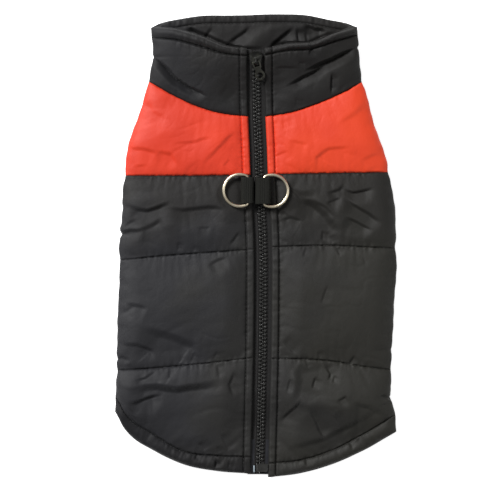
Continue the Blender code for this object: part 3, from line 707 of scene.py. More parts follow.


# Its last colour is painted shade next to the chest bands.
BLACK_NYLON = nylon(
    "black nylon", (0.0094, 0.0090, 0.0085, 1), (0.0142, 0.0135, 0.0127, 1), (0.0108, 0.0110, 0.0142, 1),
    (0.0126, 0.0118, 0.0080, 1), 0.56, (0.0052, 0.0040, 0.0028, 1),
)


def finished_object(name, bm, material, body="vest"):
    """The bmesh becomes a smooth-shaded piece on that body."""
    mesh = mesh_from(name, bm)
    mesh.polygons.foreach_set("use_smooth", np.ones(len(mesh.polygons), bool))
    mesh.materials.append(material)
    item = placed(name, mesh)
    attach(item, body)
    return item


# From stitch to stitch, and the size of one stitch's thread.
STITCH, SHORT_STITCH = 3.0, 2.8
THREAD_LENGTH, THREAD_WIDTH, THREAD_HEIGHT = 2.2, 0.5, 0.6 * 0.5


def stitching(name, material, *runs):
    """Stitches along paths on the cloth, each with its pitch: short lengths of thread, half sunk in."""
    bm = bmesh.new()
    half = THREAD_LENGTH / 2
    size = Matrix.Diagonal((THREAD_LENGTH * MM, THREAD_WIDTH * MM, THREAD_HEIGHT * MM, 1))
    for path, pitch in runs:
        steps = np.linalg.norm(np.diff(path, axis=0), axis=1)
        run = np.concatenate([[0.0], np.cumsum(steps)])
        for at in np.arange(pitch / 2, run[-1] - half, pitch):
            start, end = (
                Vector([float(np.interp(spot, run, path[:, k])) for k in range(3)])
                for spot in (at - half, at + half)
            )
            turn = (end - start).to_track_quat("X", "Z").to_matrix().to_4x4()
            place = Matrix.Translation((start + end) / 2 * MM) @ turn @ size
            bmesh.ops.create_uvsphere(bm, u_segments=6, v_segments=4, radius=0.5, matrix=place)
    return finished_object(name, bm, material)


def sewing_thread(name, dark, light):
    """Spun polyester, with painted shade between its twisted strands."""
    finish = Finish(name)
    twist = finish.wave(finish.object_place(), "DIAGONAL", 900, 1.0)
    return finish.shade(
        Base_Color=finish.blend(twist, dark, light),
        Roughness=0.6 + twist * 0.1,
        Normal=finish.bump(twist, 0.4, 0.0001),
    )


BLACK_THREAD = sewing_thread("black thread", (0.006, 0.006, 0.006, 1), (0.016, 0.016, 0.016, 1))


def quilting(cut, top, channel, short):
    """The points of a panel along the stitching above a channel, but for the last few by the fold."""
    row = np.nonzero(cut.channel[:, 0] == channel)[0][-1]
    return top[row, PLACKET_COLUMN:-short]


# Creases: the points each runs through, its width and its depth.
LOWER_CREASES = {
    LEFT: (
        (((-66, 33), (-76, 29.5), (-87, 27), (-95, 28), (-103, 32)), 3.4, 2.8),
        (((-22, 28), (-38, 29.5), (-47, 28.5), (-58, 27), (-71, 28)), 3.6, 2.0),
        (((-91, 10.5), (-100, 11.5), (-109, 10)), 2.2, 2.2),
        (((-73, 21), (-84, 14.5), (-96, 9.5)), 3.6, 1.6),
        (((-94, 21), (-101, 17), (-106, 13)), 2.4, 1.3),
        (((-36, 15), (-47, 14.5)), 1.8, 0.9),
        (((-13, 12), (-17, 6), (-21, 0)), 1.8, 1.4),
        (((-62, 3), (-62, -4)), 1.3, 1.2),
        (((-49, 1), (-49.5, -4)), 1.2, 1.0),
        (((-22, -10), (-31, -13), (-39, -17)), 2.8, 1.3),
        (((-86, -52), (-95, -49.5), (-105, -46)), 3.6, 1.2),
        (((-82, -92), (-85, -84), (-96, -80), (-109, -79)), 3.2, 1.7),
        (((-101, -93), (-105, -90), (-110, -88)), 1.8, 1.8),
        (((-46, -90), (-53, -82), (-69, -76), (-94, -69)), 8.0, 2.6),
        (((-52, -94), (-48, -85)), 1.6, 1.2),
        (((-35, -91), (-31, -84)), 1.4, 0.9),
        (((-79, -99), (-88, -107), (-97, -109)), 2.8, 1.3),
        (((-68, -97), (-69, -105)), 1.6, 1.0),
        (((-31, -94), (-30, -106)), 1.8, 0.9),
        (((-24, -111), (-47, -116), (-62, -117.5), (-78, -116), (-92, -118), (-108, -121)), 7.5, 4.6),
        (((-75, -120), (-91, -124), (-104, -129)), 2.6, 2.2),
        (((-96, -136), (-101, -130)), 1.8, 1.4),
        (((-17, -100), (-21, -110), (-17, -120)), 2.4, 1.6),
        (((-41, -165), (-46, -157)), 2.0, 1.6),
        (((-30, -166), (-32, -160)), 1.4, 1.3),
        (((-22, -164), (-25, -157), (-28, -149)), 2.4, 1.3),
    ),
    RIGHT: (
        (((57, 41), (67, 44), (71, 50)), 2.2, 1.7),
        (((94, 44), (78, 42.5), (70, 44.5)), 2.2, 2.0),
        (((55, 33.5), (68, 38.5)), 1.8, 1.5),
        (((101, 16), (88, 25), (77, 32.5), (69, 39)), 2.8, 2.6),
        (((94, 11.5), (82, 17.5), (70, 23)), 2.6, 2.4),
        (((70, 11), (60, 14), (52, 23), (43, 31), (27, 36)), 7.0, 3.6),
        (((50, 40), (38, 38), (24, 42)), 6.5, 1.6),
        (((62, 22), (55, 30), (44, 36)), 3.0, 1.4),
        (((54.5, 13), (53, 4)), 1.6, 1.7),
        (((59, 9), (62, 2)), 1.5, 1.2),
        (((38, 19), (28, 22), (19, 19.5)), 2.4, 1.4),
        (((28, 22), (20, 28)), 1.8, 1.1),
        (((24, 48), (33, 42), (38, 34)), 2.6, 1.3),
        (((67.5, -8), (64, -1)), 1.5, 1.4),
        (((40, -1), (39, -9)), 1.4, 0.9),
        (((57, -31), (52, -46)), 1.6, 0.8),
        (((34, -86), (22, -75)), 2.2, 1.3),
        (((52, -92), (50, -83)), 1.6, 1.2),
        (((75, -94), (79, -87)), 1.5, 1.5),
        (((34, -94), (38, -108), (35, -126)), 8.0, 3.0),
        (((100, -131), (84, -142), (57, -156), (24, -165)), 5.5, 1.7),
        (((41.5, -98), (39, -91)), 1.4, 1.4),
        (((45, -115), (47.5, -105)), 1.5, 2.0),
        (((57, -108), (59.5, -103), (55, -95)), 1.5, 1.8),
        (((61, -110), (63, -104)), 1.3, 1.4),
        (((25, -117), (27.5, -106)), 1.7, 1.4),
        (((73, -120.5), (64, -126)), 2.2, 2.1),
        (((102, -138), (90, -130), (76, -127)), 4.2, 2.0),
        (((20, -141.5), (31, -130), (38, -122)), 2.4, 1.7),
        (((57, -156), (51, -147), (47, -137), (41, -127)), 3.4, 2.2),
        (((72, -151), (67, -142), (61, -135)), 3.0, 1.2),
        (((99, -119), (110, -121.5)), 1.6, 1.8),
        (((100, -128), (109, -124.5)), 1.6, 1.5),
    ),
}

# Each channel's rows. Two channels share the row on the stitching between them.
lower_rows = [
    places(SEAM_STEPS, 72, SEAM_STEPS),
    places(SEAM_STEPS[1:], 88, SEAM_STEPS),
    places(SEAM_STEPS[1:], 56, SEAM_STEPS),
]
for side in (LEFT, RIGHT):
    cut, top, panel = back_piece(
        f"lower_back_{WORDS[side]}", side, ("hem_seam", "quilt_2", "quilt_1", "chest_seam"), lower_rows,
        LOWER_CREASES[side], BLACK_NYLON, 11 + side,
    )
    thread = stitching(
        f"lower_stitching_{WORDS[side]}", BLACK_THREAD, (top[:, PLACKET_COLUMN], STITCH),
        (quilting(cut, top, 0, 4), STITCH), (quilting(cut, top, 1, 4), STITCH),
    )
    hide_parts(f"back_panel_{WORDS[side]}")

# ======================================================================================
# Chest bands. Red-orange nylon over a thinner filling, one each side of the zip, sewn
# between the lower panels and the yoke.
# ======================================================================================
RED_NYLON = nylon(
    "red nylon", (0.56, 0.027, 0.007, 1), (0.70, 0.044, 0.011, 1), (0.57, 0.032, 0.011, 1),
    (0.70, 0.050, 0.009, 1), 0.47,
)
RED_THREAD = sewing_thread("red thread", (0.22, 0.012, 0.008, 1), (0.38, 0.02, 0.012, 1))

CHEST_CREASES = {
    LEFT: (
        (((-103, 78), (-90, 76), (-78, 73)), 3.2, 1.2),
        (((-81, 75), (-68, 71), (-63, 61)), 3.4, 1.1),
        (((-42, 64), (-30, 77), (-14, 91)), 3.8, 1.0),
        (((-66, 80), (-48, 82), (-34, 86)), 3.2, 0.7),
        (((-70, 98), (-84, 106), (-90, 116)), 4.5, 0.9),
        (((-99, 62), (-86, 64)), 2.4, 0.8),
        (((-26, 64), (-20, 70)), 2.0, 0.8),
    ),
    RIGHT: (
        (((51, 60), (50, 70), (58, 75), (77, 78)), 3.6, 1.0),
        (((26, 83), (42, 80)), 3.0, 0.8),
        (((66, 96), (80, 104), (92, 116)), 4.5, 0.8),
        (((84, 66), (94, 72), (104, 70)), 3.6, 0.8),
        (((22, 102), (24, 92)), 2.6, 0.6),
        (((14, 70), (26, 76)), 2.0, 0.6),
    ),
}

for side in (LEFT, RIGHT):
    rows = [places(SEAM_STEPS, 62, SEAM_STEPS)]
    cut, top, panel = back_piece(
        f"chest_{WORDS[side]}", side, ("chest_seam", "yoke_seam"), rows, CHEST_CREASES[side], RED_NYLON,
        31 + side, fullness=0.85, puckered=0.3,
    )
    thread = stitching(f"chest_stitching_{WORDS[side]}", RED_THREAD, (top[:, PLACKET_COLUMN], STITCH))
    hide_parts(f"chest_band_{WORDS[side]}")

# ======================================================================================
# Yokes. Black nylon, one each side of the zip, in one with the front of the stand collar.
# The collar's edge is turned over an elastic and stitched, so it is gathered.
# ======================================================================================
# A darker copy of the black nylon, in painted shade: for the yoke and collar at the top, the left hem band,
# and the belly and rear collar that show inside the neck.
SHADED_NYLON = nylon(
    "black nylon in painted shade", (0.0046, 0.0041, 0.0040, 1), (0.0080, 0.0072, 0.0070, 1),
    (0.0066, 0.0066, 0.0086, 1), (0.0070, 0.0062, 0.0048, 1), 0.56, shine=0.3,
)

YOKE_CREASES = {
    LEFT: (
        (
            ((-84, 152.5), (-77, 147), (-71, 142), (-63, 133.5), (-54, 127), (-46, 123), (-39, 119)),
            1.5, 4.2,
        ),
        (((-52, 123.5), (-41, 122.5)), 1.6, 0.9),
        (((-20, 128), (-30, 118)), 4.0, 0.7),
    ),
    RIGHT: (
        (((37, 138.5), (48, 143.5), (61, 149), (84, 161)), 1.9, 4.2),
        (((24, 126.5), (35, 133.5), (43, 137), (56, 144)), 1.8, 2.8),
        (((60.5, 121), (60.8, 138)), 1.5, 1.9),
        (((32, 145.5), (39, 145.8)), 1.4, 1.1),
        (((14, 141), (33, 141.8)), 1.6, 0.8),
        (((42, 164), (43.5, 157), (42, 150)), 1.8, 2.0),
        (((32, 110), (33, 118)), 1.6, 0.7),
    ),
}
CASING_DIP = 0.9
COLLAR_EDGE = 2.4  # the rim's rounding


def collar_gathers(cut):
    """The gathers above and a little below the casing's stitching, and the dip along it."""
    to_casing = np.where(cut.channel == 1, cut.from_low, cut.height - cut.from_low)
    casing = bell(to_casing, CASING_DIP)
    strength = smooth((cut.y - line_y("casing", cut.side, cut.share) + 9) / 8)
    broad = uneven(cut.x * 1.9, cut.y * 0.5, 5, 60 + cut.side)
    ridges = broad + 0.6 * uneven(cut.x * 3.2, cut.y, 5, 64 + cut.side)
    return 0.2 * strength * ridges * smooth(cut.from_zip / 8) - casing


for side in (LEFT, RIGHT):
    rows = [places(SEAM_STEPS, 52, SEAM_STEPS[:5]), places(SEAM_STEPS[1:4], 2, FREE_STEPS[:5])]
    cut, top, panel = back_piece(
        f"yoke_and_collar_{WORDS[side]}", side, ("yoke_seam", "casing", "rim"), rows, YOKE_CREASES[side],
        SHADED_NYLON, 51 + side, fullness=0.7, puckered=0.35, free_high=COLLAR_EDGE,
        extra=collar_gathers,
    )
    thread = stitching(
        f"collar_stitching_{WORDS[side]}", BLACK_THREAD, (top[:-5, PLACKET_COLUMN], STITCH),
        (quilting(cut, top, 0, 3), SHORT_STITCH),
    )
    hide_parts(f"yoke_{WORDS[side]}")

# ======================================================================================
# Hem bands. Black nylon folded over an elastic and sewn along the rounded tail, so the
# band is gathered, more on the left half than on the right.
# ======================================================================================
HEM_CREASES = {
    LEFT: (
        (((-31, -171), (-32.5, -178)), 1.5, 3.6),
        (((-46, -165), (-49, -172)), 1.6, 2.4),
        (((-21, -172), (-22, -180)), 1.5, 2.2),
        (((-62, -157), (-66, -164)), 1.8, 2.0),
    ),
    RIGHT: (
        (((40, -169), (41, -176)), 1.6, 2.2),
        (((74, -156), (78, -163)), 1.6, 2.0),
    ),
}
HEM_TIGHT = {LEFT: 1.0, RIGHT: 0.6}
HEM_RIDGE = 0.36
HEM_EDGE = 2.6  # its folded edge's rounding


def hem_ridges(cut):
    """Ridges across the band, drawn up by the elastic."""
    steps = np.hypot(*(np.diff(item, axis=1, prepend=item[:, :1]) for item in (cut.x, cut.y)))
    slant = np.cumsum(steps, axis=1) + 0.35 * cut.from_low
    tight = HEM_TIGHT[cut.side] * smooth(cut.from_zip / 9)
    broad = uneven(slant, cut.from_low * 0.14, 3.4, 70 + cut.side)
    ridges = tight * (0.3 * broad + uneven(slant, cut.from_low * 0.2, 1.7, 73 + cut.side))
    return HEM_RIDGE * ridges * smooth(cut.from_low / 2)


for side in (LEFT, RIGHT):
    rows = [places(FREE_STEPS, 4, SEAM_STEPS[:5])]
    # The left band is in painted shade: it takes the darker copy of the nylon.
    cut, top, panel = back_piece(
        f"hem_{WORDS[side]}", side, ("hem_edge", "hem_seam"), rows, HEM_CREASES[side],
        {LEFT: SHADED_NYLON, RIGHT: BLACK_NYLON}[side], 71 + side, fullness=0.5, free_low=HEM_EDGE,
        extra=hem_ridges,
    )
    thread = stitching(
        f"hem_stitching_{WORDS[side]}", BLACK_THREAD, (top[6:, PLACKET_COLUMN], STITCH),
        (top[-3, PLACKET_COLUMN:-4], SHORT_STITCH),
    )
    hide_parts(f"hem_band_{WORDS[side]}")

# ======================================================================================
# Belly panel. Black nylon under the whole back layer, in one with the rear half of the
# stand collar, whose inner face shows in the neck. Its edge is turned over an elastic.
# It has two holes for the front legs, bound with strips of the same nylon.
# ======================================================================================
BELLY_TOP = 5.1  # inner face
BELLY_ROLL = 14.0
LEG_X, LEG_Y = 47.0, 66.0  # centre of each leg hole
LEG_HALF_WIDTH, LEG_HALF_LENGTH = 29.0, 35.0
REAR_CASING = 6.6  # from the rear rim to its stitching
NECK_ROW = 1.2  # from row to row of the inner face in the neck
BELLY_THINNEST = {"panel": 0.4, "hem": 0.3}
STITCHED = slice(14, -14)  # the belly's stitching ends short of the side folds
# How deep thread pulls the cloth down along the rear casing, and how high the cloth is gathered.
REAR_GROOVE, REAR_RIDGE = 0.9, 0.3
NECK_FOLD = 1.3

# Creases of the inner face in the neck, and of the underside.
NECK_CREASES = (
    (((-42, 165), (-48, 171), (-54, 175.5)), 2.2, 3.0),
    (((-42.5, 166), (-38, 170), (-34, 174)), 1.6, 1.8),
    (((-23, 160), (-14, 168), (-4, 176)), 2.0, 2.0),
    (((9, 157.5), (20, 165.5), (32, 174.5)), 2.2, 2.6),
    (((34, 163), (33.5, 174.5)), 2.0, 3.0),
    (((57, 171.5), (46, 173), (39, 178)), 2.4, 3.4),
    (((41, 163), (40, 172)), 1.8, 1.8),
    (((48, 166), (56, 169), (66, 171)), 2.0, 1.2),
    (((-60, 176), (-52, 173), (-42, 168.8), (-21, 160.6), (-8, 158.0), (8, 157.8)), 1.9, 2.4),
    (((8, 157.8), (20, 161.6), (42, 163.8), (60, 170.5)), 1.7, 1.8),
)
UNDER_CREASES = (
    (((-104, 8), (-70, 0), (-30, 6)), 6.0, 1.6),
    (((104, 24), (72, 16), (40, 20)), 6.0, 1.6),
    (((-20, 150), (0, 138), (18, 146)), 5.0, 1.3),
    (((-96, -60), (-60, -52), (-26, -58)), 5.5, 1.2),
    (((92, -48), (58, -58), (22, -52)), 5.5, 1.3),
    (((-14, 96), (-8, 62), (-12, 26)), 5.0, 1.4),
    (((16, 92), (10, 60), (15, 30)), 5.0, 1.2),
    (((-76, 150), (-60, 134), (-44, 128)), 5.0, 1.4),
    (((78, 152), (62, 136), (46, 129)), 5.0, 1.4),
)


class BellyCut:
    """The points of one piece of the belly layer, from the left fold to the right one."""

    def __init__(self, low_line, high_line, rows, columns):
        fixed_c, part_c, reach_c = columns
        fixed_r, part_r, reach_r = rows
        share = np.tile(2 * (fixed_c + part_c * (200 - reach_c)) / 200 - 1, (len(fixed_r), 1))
        for _ in range(5):
            ends = []
            for line in (low_line, high_line):
                left, right = (line_y(line, side, abs(share)) for side in (LEFT, RIGHT))
                ends.append(np.where(share < 0, left, right))
            self.height = ends[1] - ends[0] - GAP
            self.from_low = fixed_r[:, None] + part_r[:, None] * (self.height - reach_r)
            self.y = ends[0] + GAP / 2 + self.from_low
            left, right = fold_x(LEFT, self.y), fold_x(RIGHT, self.y)
            across = fixed_c + part_c * (right - left - reach_c)
            share = np.clip(2 * across / (right - left) - 1, -1, 1)
        self.share, self.x = share, left + across
        self.left, self.right = left, right
        self.inward = np.minimum(across, right - left - across)

    def under(self):
        return (FOLD_Z - GAP / 2) * (1 - quarter(self.inward / BELLY_ROLL))

    def top_x(self):
        tuck = WALL + self.inward * (1 - WALL / BELLY_ROLL)
        near_left = self.x - self.left < self.right - self.x
        tucked = np.where(near_left, self.left + tuck, self.right - tuck)
        return np.where(self.inward < BELLY_ROLL, tucked, self.x)

    def wall(self, name, top, under, thinnest, material):
        """The piece, and the points of its two faces."""
        upper = points(self.top_x(), self.y, top)
        lower = points(self.x, self.y, np.minimum(under, top - thinnest))
        return cloth_wall(name, upper, lower, points(self.x, self.y), material), upper, lower


belly_roll = roll_steps(BELLY_ROLL, 12)
across_belly = places(belly_roll, 170, belly_roll)
RIM_STEPS = (*FREE_STEPS, 2.9, 4.0, 5.2, 6.0, REAR_CASING, 7.2, 8.2)
neck_steps = RIM_STEPS + tuple(RIM_STEPS[-1] + NECK_ROW * (k + 1) for k in range(22))
cut = BellyCut("belly_seam", "rear_rim", places(SEAM_STEPS[:5], 92, neck_steps), across_belly)
from_rim = cut.height - cut.from_low
top = BELLY_TOP + np.zeros_like(cut.x)
folds = crease_field(cut.x, cut.y, NECK_CREASES, 81) * smooth((from_rim - REAR_CASING + 1) / 4)
# A broad fold stands up across the neck, from the front on the left to the rim on the right.
band = bell(cut.x - 5 + 0.82 * (168 - cut.y) * 1.3, 10) * smooth((cut.y - 152) / 8)
folds += NECK_FOLD * band * smooth((from_rim - REAR_CASING) / 6)
top += folds * smooth(cut.inward / 24)
rim_run = uneven(cut.x * 2.1, cut.y * 0.5, 6, 84) + 0.6 * uneven(cut.x * 3.4, cut.y, 6, 85)
top += REAR_RIDGE * rim_run * bell(from_rim - 3, 5) * smooth(cut.inward / 10)
top -= REAR_GROOVE * bell(from_rim - REAR_CASING, 0.7)
top += 0.18 * uneven(cut.x, cut.y, 6, 86) * smooth(cut.inward / 10)
under = cut.under()
soft = -crease_field(cut.x, cut.y, UNDER_CREASES, 87) * 0.8 + 0.35 * (1 + uneven(cut.x, cut.y, 24, 88))
soft += 0.7 * np.maximum(rim_run, 0) * bell(from_rim - 3, 6)
under += np.maximum(soft, 0) * smooth(cut.inward / 10)
top, under = shut_edge(top, under, from_rim, COLLAR_EDGE)
# The belly and rear collar take the darker copy of the nylon: painted shade inside the neck.
belly, upper, _ = cut.wall("belly_and_rear_collar", top, under, BELLY_THINNEST["panel"], SHADED_NYLON)
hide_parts("belly_panel")

casing_row = len(cut.y) - 1 - RIM_STEPS.index(REAR_CASING)
thread = stitching("rear_collar_stitching", BLACK_THREAD, (upper[casing_row, STITCHED], SHORT_STITCH))

# The binding's section: distance in from the hole's edge, and height. It is spun, then made oval.
BINDING_SECTION = (
    (0.0, 0.0), (4.0, 0.0), (5.6, 0.35), (6.3, 1.3), (6.5, 2.5), (6.3, 3.6), (5.6, 4.6), (4.0, 5.0),
    (0.0, 5.0),
)
BINDING_STEPS = 180
BINDING_MIDDLE = 2.5  # its middle's height
LEG_STITCHING = 1.5  # from the binding's outer edge to its stitching
LEG_STITCH_HEIGHTS = (0.35, 4.6)


def oval_point(side, inset, angle):
    """x and y on an oval this far inside the binding's outer edge."""
    return (
        side * LEG_X + (LEG_HALF_WIDTH - GAP - inset) * np.cos(angle),
        LEG_Y + (LEG_HALF_LENGTH - GAP - inset) * np.sin(angle),
    )


for side in (LEFT, RIGHT):
    word = WORDS[side]
    bm = bmesh.new()
    bmesh.ops.create_cone(bm, cap_ends=True, segments=64, radius1=1, radius2=1, depth=30 * MM)
    bmesh.ops.scale(bm, vec=(LEG_HALF_WIDTH * MM, LEG_HALF_LENGTH * MM, 1), verts=bm.verts[:])
    bmesh.ops.translate(bm, vec=(side * LEG_X * MM, LEG_Y * MM, 0), verts=bm.verts[:])
    cutter = placed(f"leg_cut_{word}", mesh_from(f"leg_cut_{word}", bm))
    hole = belly.modifiers.new("leg hole", "BOOLEAN")
    hole.object = cutter
    holed = bpy.data.meshes.new_from_object(belly.evaluated_get(bpy.context.evaluated_depsgraph_get()))
    belly.modifiers.clear()
    belly.data = holed
    bpy.data.objects.remove(cutter, do_unlink=True)

    bm = bmesh.new()
    corners = [bm.verts.new((LEG_HALF_WIDTH - GAP - inset, 0, height)) for inset, height in BINDING_SECTION]
    for a, b in zip(corners, corners[1:] + corners[:1]):
        bm.edges.new((a, b))
    bmesh.ops.spin(
        bm, geom=bm.verts[:] + bm.edges[:], axis=(0, 0, 1), cent=(0, 0, 0), angle=2 * math.pi,
        steps=BINDING_STEPS, use_merge=True,
    )
    broad = []
    for edge in bm.edges:
        first, second = (vert.co for vert in edge.verts)
        if abs(first.z - second.z) < 0.1 and abs(first.xy.length - second.xy.length) > 3:
            broad.append(edge)
    bmesh.ops.subdivide_edges(bm, edges=broad, cuts=3)
    bmesh.ops.recalc_face_normals(bm, faces=bm.faces[:])
    for vert in bm.verts:
        angle = math.atan2(vert.co.y, vert.co.x)
        inset = LEG_HALF_WIDTH - GAP - vert.co.xy.length
        gather = noise.noise((9 * math.cos(angle), 9 * math.sin(angle), 5.0 * side)) * smooth(inset / 2.0)
        depth = -0.45 * bell(inset - LEG_STITCHING, 0.5) + 0.8 * float(gather)
        height = vert.co.z
        if height > BINDING_MIDDLE:
            height = BINDING_MIDDLE + (height - BINDING_MIDDLE) * (1 + depth / BINDING_MIDDLE)
        else:
            height -= min(depth, 0)
        x, y = oval_point(side, inset, angle)
        vert.co = (x * MM, y * MM, height * MM)
    binding = finished_object(f"leg_opening_{word}", bm, BLACK_NYLON)
    cloth_layer = binding.data.uv_layers.new(name="cloth")
    for loop in binding.data.loops:
        place = binding.data.vertices[loop.vertex_index].co
        cloth_layer.data[loop.index].uv = (place.x / MM, place.y / MM)
    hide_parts(f"leg_binding_{word}")
    turns = np.linspace(0, 2 * math.pi, 241)
    x, y = oval_point(side, LEG_STITCHING, turns)
    ovals = [(points(x, y, level), STITCH) for level in LEG_STITCH_HEIGHTS]
    thread = stitching(f"leg_opening_stitching_{word}", BLACK_THREAD, *ovals)

# ======================================================================================
# Belly hem band. Nylon folded over an elastic along the end of the belly panel.
# ======================================================================================
UNDER_HEM, UNDER_HEM_RIDGE, UNDER_HEM_GROOVE = BELLY_TOP - 0.5, 0.4, 0.7
cut = BellyCut("belly_edge", "belly_seam", places(FREE_STEPS, 5, SEAM_STEPS[:5]), across_belly)
ridges = uneven(cut.x + 0.4 * cut.from_low, cut.from_low * 0.4, 4.5, 91)
top = UNDER_HEM + UNDER_HEM_RIDGE * ridges * smooth(cut.inward / 12)
top -= UNDER_HEM_GROOVE * bell(cut.height - cut.from_low, SEAM_REACH)
under = cut.under() + np.maximum(0.7 * ridges, 0) * smooth(cut.inward / 10)
top, under = shut_edge(top, under, cut.from_low, COLLAR_EDGE)
hem, upper, lower = cut.wall("belly_hem_band", top, under, BELLY_THINNEST["hem"], BLACK_NYLON)
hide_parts("belly_hem")
thread = stitching(
    "belly_hem_stitching", BLACK_THREAD, (upper[-3, STITCHED], SHORT_STITCH),
    (lower[-3, STITCHED] + (0, 0, THREAD_WIDTH / 2), SHORT_STITCH),
)

# ======================================================================================
# Zip tapes. Woven polyester, sewn under the placket edges, each with a thick cord woven
# into its inner edge for the teeth.
# ======================================================================================
TAPE_FLOOR = 6.3
TAPE_LOW, TAPE_HIGH = -183.0, 156.2
# How far from the zip's middle each line of points is: the cord, the placket's edge, and its own edge.
TAPE_STEPS = np.array(
    (0.03, 0.2, 1.5, 2.8, 3.25, 3.6, 4.0, 4.3, 4.7, 5.3, 6.0, 6.8, 7.6, 8.6, 9.45, 9.6),
)[None, :]
CORD_MIDDLE, CORD_WIDTH, CORD_RISE = 3.55, 0.45, 0.55
TAPE_EDGE = 0.3  # its thickness there
WAVE = 0.31  # a wave texture of scale 1 repeats at this distance


def strip_beside_zip(name, side, y, reach, high, low, material):
    """Cloth along the zip. reach is how far from the zip's middle each of its points is."""
    x = zip_x(y) + side * reach
    return cloth_wall(name, points(x, y, high), points(x, y, low), points(reach, y), material)


def woven_tape(name, dark, light, pitch):
    """A ribbed weave, read along and across the tape, with painted shade in the hollows of its ribs."""
    finish = Finish(name)
    spot = finish.cloth_place()
    across = finish.wave(spot, "X", WAVE / pitch * 1.3)
    along = finish.wave(spot, "Y", WAVE / pitch, 0.4)
    fuzz = finish.noise(finish.object_place(), 900, 2)
    weave = across * along
    return finish.shade(
        Base_Color=finish.blend(weave * 0.7 + fuzz * 0.3, dark, light),
        Roughness=0.78 + fuzz * 0.1,
        Specular_IOR_Level=0.3,
        Normal=finish.bump(weave + fuzz * 0.3, 0.6, 0.0003),
    )


TAPE_WEAVE = woven_tape("zip tape weave", (0.008, 0.008, 0.008, 1), (0.025, 0.0225, 0.0225, 1), 0.8)

tape_y = np.linspace(TAPE_LOW, TAPE_HIGH, 261)[:, None]
for side in (LEFT, RIGHT):
    cord = CORD_RISE * bell(TAPE_STEPS - CORD_MIDDLE, CORD_WIDTH)
    ripple = 0.10 * uneven(tape_y, TAPE_STEPS, 5, 95 + side) * smooth((TAPE_STEPS - 4) / 2)
    level = lift(side, np.zeros_like(tape_y), tape_y)
    high = TAPE_TOP - 0.05 + cord + ripple * (TAPE_STEPS < 7) + level
    low = TAPE_FLOOR + level
    edge = (TAPE_STEPS < 0.1) | (TAPE_STEPS > 9.5)
    high = np.where(edge, (high + low) / 2 + TAPE_EDGE / 2, high)
    low = np.where(edge, high - TAPE_EDGE, low)
    name = f"zip_tape_weave_{WORDS[side]}"
    tape = strip_beside_zip(name, side, tape_y, TAPE_STEPS, high, low, TAPE_WEAVE)
    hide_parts(f"zip_tape_{WORDS[side]}")

# ======================================================================================
# Zip teeth. Black moulded plastic, one row on each tape, offset by half a pitch so that
# they mesh. Each tooth grips the tape's cord and has a narrower head.
# ======================================================================================
CHAIN_LOW, CHAIN_HIGH = -173.8, 146.9
TOOTH_PITCH = 3.04
FIRST_TOOTH, LAST_TOOTH = CHAIN_LOW + 1.2, CHAIN_HIGH - 1.0
# Body and head of one tooth: how far out its middle is, width, length, floor and top.
TOOTH = ((1.95, 1.9, 1.85, 6.0, 8.7), (0.35, 1.7, 1.15, 6.2, 8.3))
TOOTH_EDGE = 0.42


def moulded_plastic(name, dark, light, gloss):
    """Moulded nylon plastic with a slight orange-peel and duller, paler worn spots."""
    finish = Finish(name)
    peel = finish.noise(finish.object_place(), 1400, 2)
    wear = finish.noise(finish.object_place(), 160, 3, 0.6)
    return finish.shade(
        Base_Color=finish.blend(wear, dark, light),
        Roughness=gloss + wear * 0.16,
        Normal=finish.bump(peel, 0.25, 0.0001),
    )


TOOTH_PLASTIC = moulded_plastic("tooth plastic", (0.010, 0.010, 0.009, 1), (0.042, 0.042, 0.040, 1), 0.13)

bm = bmesh.new()
for side in (LEFT, RIGHT):
    for k in range(int((CHAIN_HIGH - CHAIN_LOW) / TOOTH_PITCH)):
        y = FIRST_TOOTH + TOOTH_PITCH * (k + (0.5 if side == RIGHT else 0.0))
        if y > LAST_TOOTH:
            continue
        level, ahead = (float(lift(side, np.float64(0), np.float64(at))) for at in (y, y + 1))
        turn = Matrix.Rotation(math.atan2(ahead - level, 1), 4, "X")
        for out, width, length, floor, top in TOOTH:
            place = Vector((float(zip_x(y)) + side * out, y, (floor + top) / 2 + level)) * MM
            size = Matrix.Diagonal((width * MM, length * MM, (top - floor) * MM, 1))
            bmesh.ops.create_cube(bm, size=1.0, matrix=Matrix.Translation(place) @ turn @ size)
bmesh.ops.bevel(
    bm, geom=bm.edges[:], offset=TOOTH_EDGE * MM, affect="EDGES", segments=2, profile=0.5, material=-1,
)
teeth = finished_object("zip_teeth", bm, TOOTH_PLASTIC)
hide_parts("zip_chain")

# ======================================================================================
# Zip bottom: the box moulded on the right tape, the pin that slots into it, and the
# glossy film that stiffens both tapes behind them.
# ======================================================================================
def moulded_block(name, node, material, edge, sunk=None):
    """A block in the place of its CAD node, its edges rounded. sunk is a shallow hollow in its top:
    the width of the rim round it, and its depth."""
    low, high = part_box(node)
    size = [b - a for a, b in zip(low, high)]
    middle = [(a + b) / 2 for a, b in zip(low, high)]
    bm = bmesh.new()
    bmesh.ops.create_cube(bm, size=1.0, matrix=Matrix.Translation(middle) @ Matrix.Diagonal((*size, 1)))
    if sunk:
        top_face = max(bm.faces, key=lambda face: face.calc_center_median().z)
        bmesh.ops.inset_region(bm, faces=[top_face], thickness=sunk[0] * MM, depth=0)
        bmesh.ops.translate(bm, vec=(0, 0, -sunk[1] * MM), verts=top_face.verts[:])
    bmesh.ops.bevel(
        bm, geom=bm.edges[:], offset=edge * MM, affect="EDGES", segments=3, profile=0.5, material=-1,
    )
    return finished_object(name, bm, material)


box = moulded_block("zip_box_moulding", "zip_box", TOOTH_PLASTIC, 0.45, sunk=(1.2, 0.35))
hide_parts("zip_box")

